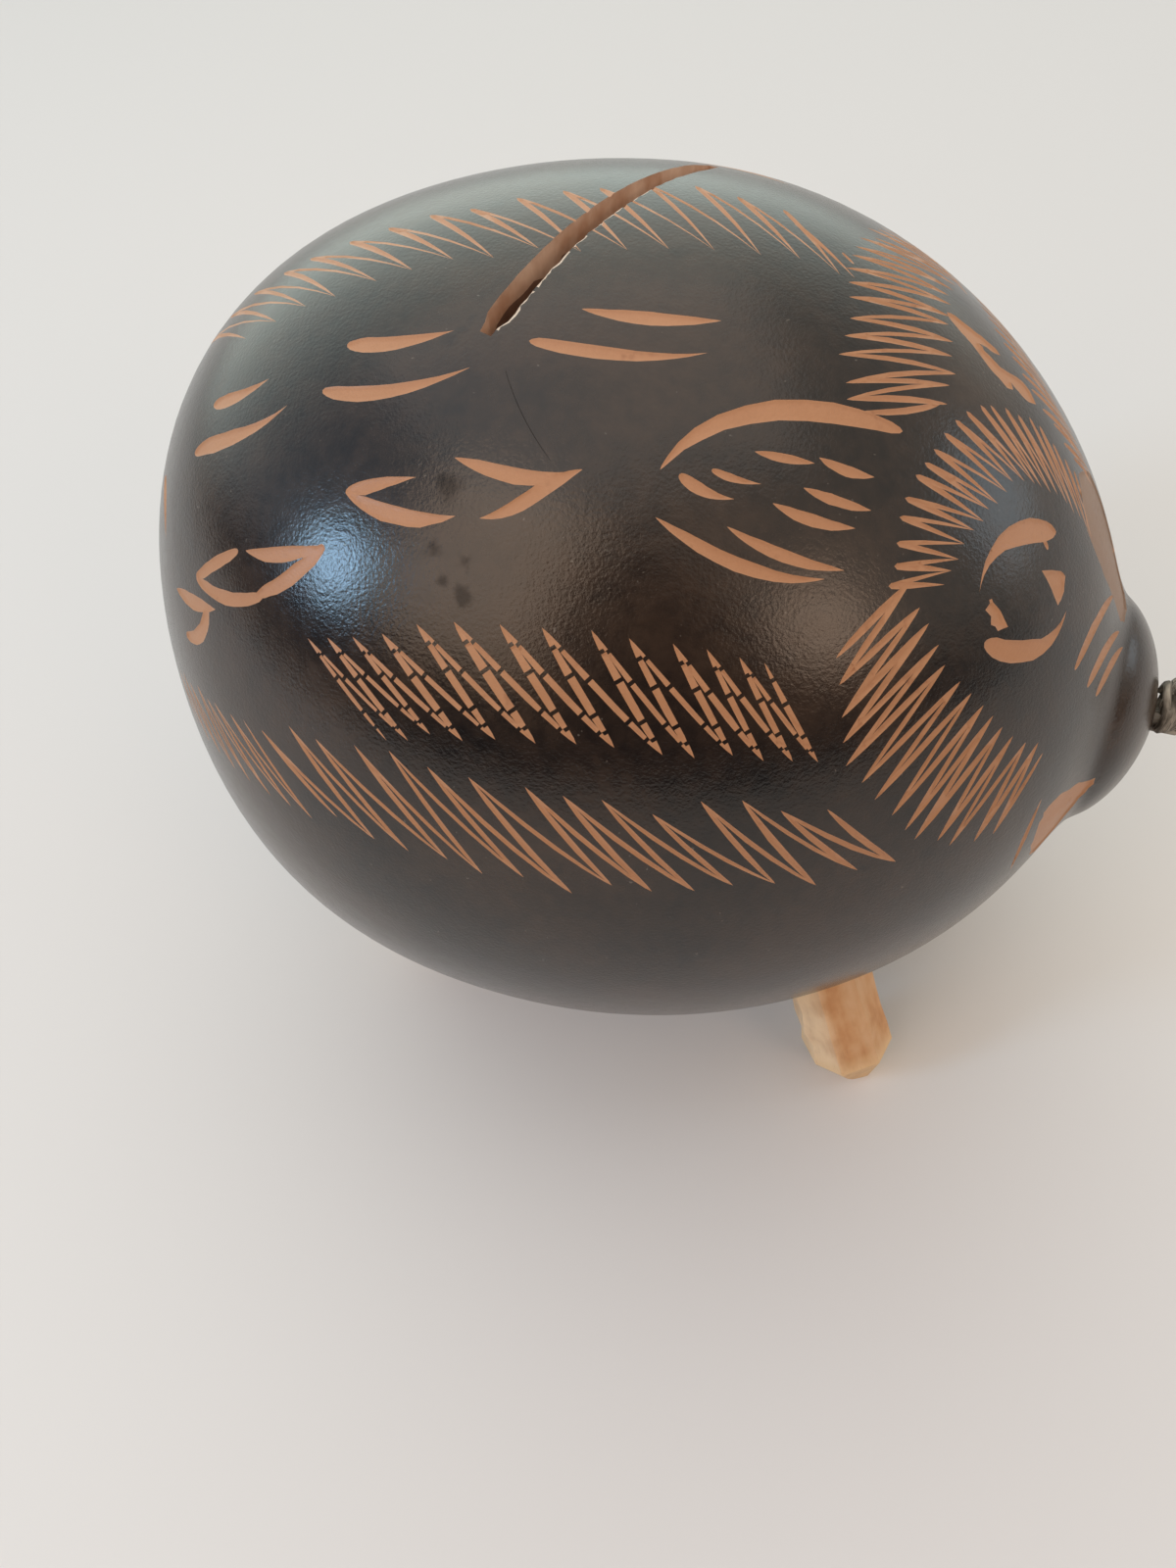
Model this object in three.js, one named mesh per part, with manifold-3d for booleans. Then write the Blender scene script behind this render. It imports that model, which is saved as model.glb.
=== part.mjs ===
// A coin bank made from a dried fruit shell, carved and stood on four whittled legs as a pig.
// Millimetres, +Z up, snout toward +X, feet on z = 0. Lengths along the fruit start at its widest ring.
import * as THREE from "three";
import { mergeVertices } from "three/addons/utils/BufferGeometryUtils.js";
import Module from "manifold-3d";

const wasm = await Module();
wasm.setup();

// Fruit shell
const GIRTH_RADIUS = 56.7;
const HEIGHT_RADIUS = 59.2;
const REAR_LENGTH = 62;
const FRONT_LENGTH = 68.4;
const REAR_FULLNESS = 2.15; // 2 is a plain ellipse, more is squarer
const FRONT_FULLNESS = 2;
const WALL = 3.8;
const NOSE_DOWN = THREE.MathUtils.degToRad(2.5);
const BELLY_CLEARANCE = 9.5; // under the widest ring
const RING_HEIGHT = BELLY_CLEARANCE + HEIGHT_RADIUS; // centre of the widest ring above the table
const SHELL_SEGMENTS = 52;
const SHELL_RINGS = 34;
const CAVITY_SEGMENTS = 40;
const CAVITY_RINGS = 22;

// Broad swellings and hollows of the grown fruit, by direction from the middle of its widest ring
const UNEVEN = [
  { toward: new THREE.Vector3(-0.79, -0.61, 0.11), height: -1.5 },
  { toward: new THREE.Vector3(-0.8, -0.12, 0.59), height: 1.2 },
  { toward: new THREE.Vector3(-0.37, 0.32, 0.87), height: -1.3 },
  { toward: new THREE.Vector3(0.4, 0.44, 0.81), height: 0.7 },
  { toward: new THREE.Vector3(0.91, -0.38, -0.17), height: 0.4 },
];
const UNEVEN_SHARPNESS = 9; // higher makes them narrower

// Snout: a rounded knob at the stem end of the fruit
const KNOB_RADIUS = 15.6;
const KNOB_LENGTH = 9.6;
const KNOB_TIP = 75; // from the widest ring to the end of the snout
const KNOB_FULLNESS = 1.8;
const NECK_BLEND = 6; // higher makes a sharper neck

// Coin slot across the back
const SLOT_LENGTH = 42.5;
const SLOT_WIDTH = 2.8;
const SLOT_FORWARD = 3.4;
const SLOT_TO_LEFT = 1.9;
const SLOT_SLANT = THREE.MathUtils.degToRad(-18.5);

// Fits
const FIT_GAP = 0.3;

// Whittled legs: foot places, leans and sections
const FRONT_FOOT_X = 47.6;
const FRONT_FOOT_Y = 28.8;
const FRONT_LEAN_BACK = -0.29; // run along X per unit of height, going up
const FRONT_LEAN_IN = 0.12;
const REAR_FOOT_X = -33.2;
const REAR_FOOT_Y = 20;
const REAR_LEAN_FORWARD = 0.22;
const REAR_LEAN_IN = 0.04;
const LEG_FACETS = 7;
const LEG_RADIUS = 7.5;
const LEG_NECK_RADIUS = 6.7;
const FOOT_RADIUS = 3;
const FOOT_BEVEL = 7.5;
const TENON_RADIUS = 4.6;
const TENON_PROUD = 3; // how far a tenon stands out inside the shell
const ROUND_SEGMENTS = 20;

// Stopper in the belly, for taking the coins out
const STOPPER_RADIUS = 13;
const STOPPER_HEAD_RADIUS = 15.5;
const STOPPER_HEAD = 3; // how far the head stands below the belly
const STOPPER_PROUD = 4; // how far the plug reaches past the wall
const STOPPER_BEVEL = 1.2;
const STOPPER_SEGMENTS = 36;

// Fibre knot on the tip of the snout
const KNOT_RADIUS = 4.2;
const KNOT_LENGTH = 7; // from the snout to the end of the knot
const KNOT_RISE = 2.3; // the knot sits a little above its stem and to the pig's left of it
const KNOT_TO_LEFT = 1.5;
const KNOT_STEM_RADIUS = 1.8;
const KNOT_STEM_DEPTH = 6.5;

// Extra length of a cutter or of a stock piece past the face that it cuts or is cut by
const OVERRUN = 12;

const { clamp } = THREE.MathUtils;

// A closed geometry as a solid, with its shared vertices merged.
function solidOf(geometry) {
  const plain = geometry.clone();
  plain.deleteAttribute("normal");
  plain.deleteAttribute("uv");
  const merged = mergeVertices(plain, 1e-4);
  return new wasm.Manifold(
    new wasm.Mesh({
      numProp: 3,
      vertProperties: merged.attributes.position.array,
      triVerts: new Uint32Array(merged.index.array),
    }),
  );
}

// A solid as a flat-shaded geometry.
function geometryOf(solid) {
  const { vertProperties, triVerts } = solid.getMesh();
  const indexed = new THREE.BufferGeometry();
  indexed.setAttribute("position", new THREE.BufferAttribute(vertProperties, 3));
  indexed.setIndex(new THREE.BufferAttribute(triVerts, 1));
  const geometry = indexed.toNonIndexed();
  geometry.computeVertexNormals();
  return geometry;
}

// Radius share of a superellipse at u, which is 0 at its widest place and 1 at its end.
function superellipse(u, fullness) {
  return (1 - clamp(u, 0, 1) ** fullness) ** (1 / fullness);
}

// Radius of the plain fruit at a distance along its axis, inset all round.
function fruitRadius(along, inset) {
  const u = along < 0 ? -along / (REAR_LENGTH - inset) : along / (FRONT_LENGTH - inset);
  const fullness = along < 0 ? REAR_FULLNESS : FRONT_FULLNESS;
  return (GIRTH_RADIUS - inset) * superellipse(u, fullness);
}

// Radius of the outside of the shell, fruit and snout knob blended, larger by a margin.
function shellRadius(along, margin) {
  const knobBase = KNOB_TIP - KNOB_LENGTH;
  const onFruit = fruitRadius(along, -margin);
  const onKnob =
    along > knobBase - KNOB_LENGTH
      ? (KNOB_RADIUS + margin) * superellipse((along - knobBase) / (KNOB_LENGTH + margin), KNOB_FULLNESS)
      : 0;
  return (onFruit ** NECK_BLEND + onKnob ** NECK_BLEND) ** (1 / NECK_BLEND);
}

// From the fruit's own frame (axis along X) to its pose on the table.
const fruitPose = new THREE.Matrix4()
  .makeTranslation(0, 0, RING_HEIGHT)
  .multiply(new THREE.Matrix4().makeRotationY(NOSE_DOWN));
const fruitStretch = new THREE.Matrix4().makeScale(1, 1, HEIGHT_RADIUS / GIRTH_RADIUS);

// How far a point of the turned fruit, in its own frame, is moved out from the middle by its uneven growth.
function growth(point) {
  const toward = point.clone().normalize();
  const share = (lump) => Math.exp((toward.dot(lump.toward.clone().normalize()) - 1) * UNEVEN_SHARPNESS);
  return UNEVEN.reduce((total, lump) => total + lump.height * share(lump), 0);
}

// A point of the turned fruit after its uneven growth, and the way back.
function grown(point) {
  return point.clone().setLength(point.length() + growth(point));
}
function ungrown(point) {
  return point.clone().setLength(point.length() - growth(point));
}

// A body turned about the fruit's axis, from a radius function between two ends.
function turned(radiusAt, rear, front, rings, segments) {
  const profile = [];
  for (let i = 0; i <= rings; i++) {
    const along = (rear + front) / 2 - ((front - rear) / 2) * Math.cos((Math.PI * i) / rings);
    const onAxis = i === 0 || i === rings;
    profile.push(new THREE.Vector2(onAxis ? 0 : radiusAt(along), along));
  }
  const geometry = new THREE.LatheGeometry(profile, segments);
  geometry.rotateZ(-Math.PI / 2);
  geometry.applyMatrix4(fruitStretch);
  const { position } = geometry.attributes;
  for (let i = 0; i < position.count; i++) {
    const point = grown(new THREE.Vector3().fromBufferAttribute(position, i));
    position.setXYZ(i, point.x, point.y, point.z);
  }
  geometry.applyMatrix4(fruitPose);
  return solidOf(geometry);
}

// The outside of the shell as a full body, larger by a margin.
function shellBody(margin) {
  const radiusAt = (along) => shellRadius(along, margin);
  return turned(radiusAt, -REAR_LENGTH - margin, KNOB_TIP + margin, SHELL_RINGS, SHELL_SEGMENTS);
}

// A solid turned about a line that starts at a point and runs along a direction.
function turnedOn(profile, segments, start, direction) {
  const geometry = new THREE.LatheGeometry(profile, segments);
  const up = new THREE.Vector3(0, 1, 0);
  geometry.applyQuaternion(new THREE.Quaternion().setFromUnitVectors(up, direction));
  geometry.translate(start.x, start.y, start.z);
  return solidOf(geometry);
}

// A plain round bar along a line, between two distances from its start.
function roundBar(radius, from, to, segments, start, direction) {
  const profile = [
    new THREE.Vector2(0, from),
    new THREE.Vector2(radius, from),
    new THREE.Vector2(radius, to),
    new THREE.Vector2(0, to),
  ];
  return turnedOn(profile, segments, start, direction);
}

// How far along a line from a point outside the shell its outer face lies.
function distanceToShell(start, direction) {
  const toFruit = fruitPose.clone().invert();
  const unstretch = fruitStretch.clone().invert();
  const isInside = (distance) => {
    const point = start.clone().addScaledVector(direction, distance).applyMatrix4(toFruit);
    const { x, y, z } = ungrown(point).applyMatrix4(unstretch);
    return Math.hypot(y, z) < shellRadius(x, 0);
  };
  let outside = 0;
  let inside = RING_HEIGHT;
  for (let i = 0; i < 40; i++) {
    const middle = (outside + inside) / 2;
    if (isInside(middle)) inside = middle;
    else outside = middle;
  }
  return inside;
}

const shellOutside = shellBody(0);
const shellSeat = shellBody(FIT_GAP);

// One leg: its line, the wooden peg with its tenon, and the hole that takes the tenon.
function makeLeg(footX, footY, runX, runY) {
  const foot = new THREE.Vector3(footX, footY, 0);
  const direction = new THREE.Vector3(runX, runY, 1).normalize();
  const entry = distanceToShell(foot, direction);
  const stock = [
    [0, -FOOT_BEVEL],
    [FOOT_RADIUS, 0],
    [LEG_RADIUS, FOOT_BEVEL],
    [LEG_NECK_RADIUS, entry + OVERRUN],
    [0, entry + OVERRUN],
  ].map(([radius, along]) => new THREE.Vector2(radius, along));
  const floor = new THREE.BoxGeometry(4 * LEG_RADIUS, 4 * LEG_RADIUS, 2 * OVERRUN);
  floor.translate(footX, footY, -OVERRUN);
  const tenonEnd = entry + WALL + TENON_PROUD;
  const tenon = roundBar(TENON_RADIUS, entry - FOOT_BEVEL, tenonEnd, ROUND_SEGMENTS, foot, direction);
  const peg = turnedOn(stock, LEG_FACETS, foot, direction)
    .subtract(solidOf(floor))
    .subtract(shellSeat)
    .add(tenon);
  const holeRadius = TENON_RADIUS + FIT_GAP;
  const hole = roundBar(holeRadius, entry - OVERRUN, tenonEnd + OVERRUN, ROUND_SEGMENTS, foot, direction);
  return { peg, hole };
}

const legs = {};
for (const [side, sign] of [["right", -1], ["left", 1]]) {
  const frontRun = -sign * FRONT_LEAN_IN;
  const rearRun = -sign * REAR_LEAN_IN;
  legs[`front_${side}_leg`] = makeLeg(FRONT_FOOT_X, sign * FRONT_FOOT_Y, FRONT_LEAN_BACK, frontRun);
  legs[`rear_${side}_leg`] = makeLeg(REAR_FOOT_X, sign * REAR_FOOT_Y, REAR_LEAN_FORWARD, rearRun);
}

// The stopper stands upright under the widest ring; its head is hollowed to the belly.
const upward = new THREE.Vector3(0, 0, 1);
const underBelly = new THREE.Vector3(0, 0, 0);
const bellyHeight = distanceToShell(underBelly, upward);
const stopperTop = bellyHeight + WALL + STOPPER_PROUD;
const stopperFoot = bellyHeight - STOPPER_HEAD;
const stopperPlug = turnedOn(
  [
    [0, stopperFoot],
    [STOPPER_RADIUS, stopperFoot],
    [STOPPER_RADIUS, stopperTop - STOPPER_BEVEL],
    [STOPPER_RADIUS - STOPPER_BEVEL, stopperTop],
    [0, stopperTop],
  ].map(([radius, along]) => new THREE.Vector2(radius, along)),
  STOPPER_SEGMENTS,
  underBelly,
  upward,
);
const stopperHead = roundBar(
  STOPPER_HEAD_RADIUS,
  stopperFoot,
  bellyHeight + OVERRUN,
  STOPPER_SEGMENTS,
  underBelly,
  upward,
).subtract(shellSeat);
const stopper = stopperHead.add(stopperPlug);
const stopperHole = roundBar(
  STOPPER_RADIUS + FIT_GAP,
  bellyHeight - OVERRUN,
  stopperTop + OVERRUN,
  STOPPER_SEGMENTS,
  underBelly,
  upward,
);

// The knot is a stubby ball of fibre on a stem let into the snout.
const snoutEnd = grown(new THREE.Vector3(KNOB_TIP, 0, 0));
const snoutTip = snoutEnd.clone().applyMatrix4(fruitPose);
const snoutAxis = new THREE.Vector3(1, 0, 0).transformDirection(fruitPose);
const knotBall = new THREE.SphereGeometry(1, 16, 10);
knotBall.scale(KNOT_LENGTH / 2 + FIT_GAP, KNOT_RADIUS, KNOT_RADIUS);
knotBall.rotateY(NOSE_DOWN);
const knotOffset = new THREE.Vector3(KNOT_LENGTH / 2 - FIT_GAP, KNOT_TO_LEFT, KNOT_RISE);
const knotCentre = snoutEnd.clone().add(knotOffset).applyMatrix4(fruitPose);
knotBall.translate(knotCentre.x, knotCentre.y, knotCentre.z);
const knotStem = roundBar(
  KNOT_STEM_RADIUS,
  -KNOT_STEM_DEPTH,
  KNOT_LENGTH / 2,
  ROUND_SEGMENTS,
  snoutTip,
  snoutAxis,
);
const knot = solidOf(knotBall).subtract(shellSeat).add(knotStem);
const knotHole = roundBar(
  KNOT_STEM_RADIUS + FIT_GAP,
  -KNOT_STEM_DEPTH - FIT_GAP,
  OVERRUN,
  ROUND_SEGMENTS,
  snoutTip,
  snoutAxis,
);

// The slot is one straight knife cut down through the top of the shell.
const slotCut = new THREE.BoxGeometry(SLOT_WIDTH, SLOT_LENGTH, HEIGHT_RADIUS);
slotCut.rotateZ(SLOT_SLANT);
slotCut.translate(SLOT_FORWARD, SLOT_TO_LEFT, RING_HEIGHT + HEIGHT_RADIUS);

const cavity = turned(
  (along) => fruitRadius(along, WALL),
  WALL - REAR_LENGTH,
  FRONT_LENGTH - WALL,
  CAVITY_RINGS,
  CAVITY_SEGMENTS,
);
let shell = shellOutside
  .subtract(cavity)
  .subtract(solidOf(slotCut))
  .subtract(stopperHole)
  .subtract(knotHole);
for (const { hole } of Object.values(legs)) shell = shell.subtract(hole);

const skin = { color: 0x2b211b, roughness: 0.32, metalness: 0 };
const paleWood = { color: 0xd8ad72, roughness: 0.7, metalness: 0 };
const cork = { color: 0xb98a5a, roughness: 0.85, metalness: 0 };
const fibre = { color: 0x3a332c, roughness: 0.95, metalness: 0 };

const bank = new THREE.Group();
function addPiece(name, solid, finish) {
  const mesh = new THREE.Mesh(geometryOf(solid), new THREE.MeshStandardMaterial(finish));
  mesh.name = name;
  bank.add(mesh);
}
addPiece("gourd_shell", shell, skin);
for (const [name, { peg }] of Object.entries(legs)) addPiece(name, peg, paleWood);
addPiece("belly_stopper", stopper, cork);
addPiece("snout_knot", knot, fibre);

// The origin is on the table under the middle of the bank's length.
const extent = new THREE.Box3().setFromObject(bank, true);
bank.position.x = -(extent.min.x + extent.max.x) / 2;

export default bank;
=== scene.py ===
"""Looks of a pig-shaped coin bank: a carved, dyed fruit shell on four whittled legs, over its CAD frame.

Lengths are in millimetres until a mesh is written, which is in metres. A place on the shell is a pair
(back, round): back is the run along the skin from the tip of the snout, and round is the angle in
degrees from the top of the back, positive toward the pig's right side (-Y).
"""
import logging
import math
from dataclasses import dataclass, field
from enum import Enum, IntEnum
from typing import Any, Callable, Sequence

import bpy
import numpy as np
from mathutils import Matrix, Vector
from mathutils.geometry import delaunay_2d_cdt


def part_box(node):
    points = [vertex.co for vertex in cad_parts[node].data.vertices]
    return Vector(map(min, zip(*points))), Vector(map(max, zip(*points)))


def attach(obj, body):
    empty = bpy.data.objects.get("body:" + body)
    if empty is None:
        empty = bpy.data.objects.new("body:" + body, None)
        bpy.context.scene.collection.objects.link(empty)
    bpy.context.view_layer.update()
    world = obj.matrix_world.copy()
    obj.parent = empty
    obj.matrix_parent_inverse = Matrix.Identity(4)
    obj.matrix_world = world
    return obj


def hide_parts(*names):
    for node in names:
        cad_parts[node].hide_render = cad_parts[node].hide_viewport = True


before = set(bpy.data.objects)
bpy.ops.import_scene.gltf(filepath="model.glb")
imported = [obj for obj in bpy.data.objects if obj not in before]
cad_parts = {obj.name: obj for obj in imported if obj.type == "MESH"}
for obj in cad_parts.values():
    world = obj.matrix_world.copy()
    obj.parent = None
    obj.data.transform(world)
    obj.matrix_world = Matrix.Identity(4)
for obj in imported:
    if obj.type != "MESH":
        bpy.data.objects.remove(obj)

Array = np.ndarray
Place = tuple[float, float]
MM = 0.001
SEAM = 128.0  # the chart of the shell is cut open here, low on the right side
UP = np.array([0.0, 0.0, 1.0])
ON_EDGE = 1e-3  # places of the chart this near to a line or a box count as on it
SLIVER = 1e-9  # smaller than any real step or face
NOTHING = 1e-12  # keeps a division from being by nought
log = logging.getLogger("coin_bank")


def unit(vectors: Array) -> Array:
    """Vectors divided by their lengths, along the last axis."""
    return vectors / np.linalg.norm(vectors, axis=-1, keepdims=True)


def running(steps: Array) -> Array:
    """Sums of steps so far, from nothing."""
    return np.concatenate([[0.0], np.cumsum(steps)])


def circle(count: int) -> Array:
    """Angles spaced evenly round a circle."""
    return np.arange(count) * 2 * np.pi / count


def spun(angle: Array, first: Array, second: Array) -> Array:
    """Vectors turned by angles from a first direction toward a second."""
    return np.cos(angle)[..., None] * first + np.sin(angle)[..., None] * second


def linear(text: str) -> tuple[float, float, float, float]:
    """Linear colour of a six-digit sRGB hex text."""
    levels = np.array([int(text[i : i + 2], 16) for i in (0, 2, 4)]) / 255
    curve = np.where(levels <= 0.04045, levels / 12.92, ((levels + 0.055) / 1.055) ** 2.4)
    return (*(float(level) for level in curve), 1.0)


# Form of the fruit


class TurnedFace:
    """One face turned about the fruit's axis, with its own chart of (back, round).

    Args:
        form: the fruit that carries the face.
        radius_at: radius for distances along the axis from the widest ring.
        front: where the axis leaves the face at the snout.
        rear: where it leaves it at the rear, as a positive length.
    """

    STEPS = 6001
    STEP = 0.2
    HALVINGS = 42
    LEAST_RADIUS = 2.0

    def __init__(self, form: "GourdForm", radius_at: Callable[[Array], Array], front: float, rear: float):
        self.form = form
        self.radius_at = radius_at
        turn = np.linspace(0.0, np.pi, self.STEPS)
        self.along = (front - rear) / 2 + (front + rear) / 2 * np.cos(turn)
        self.radius = radius_at(self.along)
        self.radius[[0, -1]] = 0.0
        self.back = running(np.hypot(np.diff(self.along), np.diff(self.radius)))
        self.length = float(self.back[-1])

    def radius_back(self, back: Array) -> Array:
        """Radius of the face at a run back from the snout."""
        return np.interp(back, self.back, self.radius)

    def degree(self, back: Array) -> Array:
        """Millimetres in one degree round at a run back, held at a least radius near the poles."""
        return np.maximum(self.radius_back(back), self.LEAST_RADIUS) * math.pi / 180

    def points(self, places: Array) -> Array:
        """Points of the face.

        The profile is carried round the axis, stretched upright by the fruit's height, and posed.

        Args:
            places: (n, 2) array of (back, round).

        Returns:
            (n, 3) points in the row frame.
        """
        angle = np.radians(places[:, 1])
        radius = self.radius_back(places[:, 0])
        along = np.interp(places[:, 0], self.back, self.along)
        own = np.stack([along, -radius * np.sin(angle), radius * np.cos(angle) * self.form.stretch], -1)
        return self.form.to_row(own)

    def normals(self, places: Array) -> Array:
        """Outward unit normals at places: the product of small steps back and round."""
        back, around = (np.array(step) * self.STEP for step in ((1.0, 0.0), (0.0, 1.0)))
        steps = [self.points(places + step) - self.points(places - step) for step in (back, around)]
        return unit(np.cross(*steps))

    def places(self, points: Array) -> Array:
        """Chart places of points on the face, with round between the seam and one turn below it."""
        own = self.form.to_fruit(points)
        back = np.interp(-own[:, 0], -self.along, self.back)
        angle = np.degrees(np.arctan2(-own[:, 1], own[:, 2] / self.form.stretch))
        return np.stack([back, (angle - SEAM) % 360.0 + SEAM - 360.0], -1)

    def strike(self, start: Array, line: Array, reach: float) -> Array:
        """Where lines that start outside first enter the face, by halving.

        Args:
            start: (n, 3) points outside the face.
            line: direction of all the lines.
            reach: a distance at which every line is inside.

        Returns:
            (n, 3) points on the face.
        """
        outside = np.zeros(len(start))
        inside = np.full(len(start), float(reach))
        for _ in range(self.HALVINGS):
            middle = (outside + inside) / 2
            own = self.form.to_fruit(start + middle[:, None] * line)
            within = np.hypot(own[:, 1], own[:, 2] / self.form.stretch) < self.radius_at(own[:, 0])
            inside = np.where(within, middle, inside)
            outside = np.where(within, outside, middle)
        return start + inside[:, None] * line


@dataclass
class GourdForm:
    """The dried fruit: a turned body, fuller behind, with a rounded knob at its stem end.

    Its uneven growth is a list of directions from the middle of the widest ring, each with the height of
    a broad swelling, or of a hollow where it is negative.
    """

    ring_x: float
    girth: float = 56.7
    tall: float = 59.2
    rear: float = 62.0
    front: float = 68.4
    rear_fullness: float = 2.15
    front_fullness: float = 2.0
    wall: float = 3.8
    nose_down: float = 2.5
    ring_height: float = 68.7
    knob_radius: float = 15.6
    knob_length: float = 9.6
    knob_tip: float = 75.0
    knob_fullness: float = 1.8
    neck_blend: float = 6.0
    fit_gap: float = 0.3
    reach: float = 60.0  # takes any line under the belly from the floor into the fruit
    uneven: tuple[tuple[tuple[float, float, float], float], ...] = (
        ((-0.79, -0.61, 0.11), -1.5), ((-0.8, -0.12, 0.59), 1.2), ((-0.37, 0.32, 0.87), -1.3),
        ((0.4, 0.44, 0.81), 0.7), ((0.91, -0.38, -0.17), 0.4),
    )
    uneven_sharpness: float = 9.0

    def __post_init__(self) -> None:
        """Works out the tilt and the outer, seat and inner faces."""
        angle = math.radians(self.nose_down)
        cos, sin = math.cos(angle), math.sin(angle)
        self.stretch = self.tall / self.girth
        self.tip = np.array([[cos, 0.0, sin], [0.0, 1.0, 0.0], [-sin, 0.0, cos]])
        self.centre = np.array([self.ring_x, 0.0, self.ring_height])
        self.axis = self.tip @ np.array([1.0, 0.0, 0.0])
        gap, wall = self.fit_gap, self.wall
        self.outer = TurnedFace(self, self.outer_radius, self.knob_tip, self.rear)
        self.seat = TurnedFace(
            self, lambda along: self.outer_radius(along, gap), self.knob_tip + gap, self.rear + gap
        )
        self.inner = TurnedFace(
            self, lambda along: self.fruit_radius(along, wall), self.front - wall, self.rear - wall
        )

    @staticmethod
    def superellipse(share: Array, fullness: float) -> Array:
        """Radius share at a share of the length: one less its power, to the inverse power."""
        return (1.0 - np.clip(share, 0.0, 1.0) ** fullness) ** (1.0 / fullness)

    def fruit_radius(self, along: Array, inset: float = 0.0) -> Array:
        """Radius of the plain fruit along its axis, set in all round."""
        behind = self.superellipse(-along / (self.rear - inset), self.rear_fullness)
        ahead = self.superellipse(along / (self.front - inset), self.front_fullness)
        return (self.girth - inset) * np.where(along < 0, behind, ahead)

    def outer_radius(self, along: Array, grown: float = 0.0) -> Array:
        """Radius of the outside: the power mean of fruit and snout knob, grown by a margin.

        Behind its base the knob thins to nothing at the widest ring, so that no step shows.
        """
        base = self.knob_tip - self.knob_length
        share = np.abs(along - base) / np.where(along > base, self.knob_length + grown, base)
        knob = (self.knob_radius + grown) * self.superellipse(share, self.knob_fullness)
        power = self.neck_blend
        return (self.fruit_radius(along, -grown) ** power + knob**power) ** (1.0 / power)

    def growth(self, own: Array) -> Array:
        """Steps out from the middle that make the turned fruit uneven, at points of its own frame.

        Each swelling's share is the exponential of how far its direction's cosine falls below one.
        """
        toward = unit(own)
        ways = unit(np.array([way for way, _ in self.uneven]))
        heights = np.array([height for _, height in self.uneven])
        share = np.exp((toward @ ways.T - 1.0) * self.uneven_sharpness)
        return toward * (share @ heights)[:, None]

    def to_row(self, own: Array) -> Array:
        """Points of the turned fruit's own frame, grown and posed in the row frame."""
        return (own + self.growth(own)) @ self.tip.T + self.centre

    def to_fruit(self, points: Array) -> Array:
        """Points of the row frame in the turned fruit's own frame."""
        own = (points - self.centre) @ self.tip
        return own - self.growth(own)


# Carving


class Face(IntEnum):
    """What a face of the shell shows, which is also its place among the material slots."""

    SKIN = 0
    CUT = 1
    WALL = 2
    CHIP = 3
    INSIDE = 4
    SCRAPED = 5
    SCRATCH = 6


class Side(Enum):
    """Which side of the face's middle line a mark is cut on."""

    RIGHT = 1
    LEFT = -1


@dataclass
class Cut:
    """One knife cut: a closed outline in the chart, its depth and what it lays bare."""

    outline: Array
    depth: float = 0.18
    shows: Face = Face.CUT


@dataclass(frozen=True)
class Taper:
    """How a stroke widens from its start and thins to its end. A power under a half makes a blunt end."""

    widen: float
    thin: float

    def width(self, run: Array) -> Array:
        """Share of the greatest width: the run so far to one power by the rest of it to the other."""
        widest = self.widen / (self.widen + self.thin)
        greatest = widest**self.widen * (1.0 - widest) ** self.thin
        return run**self.widen * (1.0 - run) ** self.thin / greatest


LEAF = Taper(0.45, 1.1)
CRESCENT = Taper(0.85, 0.95)
LIMB = Taper(0.3, 0.35)
RIM = Taper(0.7, 0.45)
BROW = Taper(1.6, 0.65)
TOOTH = Taper(0.6, 0.6)
NEEDLE = Taper(0.22, 0.85)


@dataclass(frozen=True)
class Mark:
    """One stroke: the places its middle runs through, its greatest width, its taper and what it shows."""

    path: tuple[Place, ...]
    width: float
    taper: Taper = LEAF
    shows: Face = Face.CUT


@dataclass(frozen=True)
class Teeth:
    """A zigzag between two guide lines.

    Each tip on the first line sends one leg to its own tip on the second and a thinner one to the next.
    With a swell the tips stand wider apart in the middle of the row than at its ends, and the legs are
    thicker there.
    """

    first: tuple[Place, ...]
    second: tuple[Place, ...]
    count: int
    thick: float
    thin: float
    taper: Taper = TOOTH
    wander: float = 0.3
    gaps: tuple[float, ...] = ()
    swell: float = 0.0

    EVEN_SINE = 0.6  # the sine at which a swell leaves the width as it is

    def turn(self) -> Array:
        """Angle of each tip along the row, from 0 to half a turn."""
        return np.linspace(0.0, math.pi, self.count)

    def sizes(self) -> Array:
        """Width of the legs of each tip against the row's own: more with the swell and the angle's sine."""
        return 1.0 + self.swell * (np.sin(self.turn()) - self.EVEN_SINE) / 2


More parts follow.
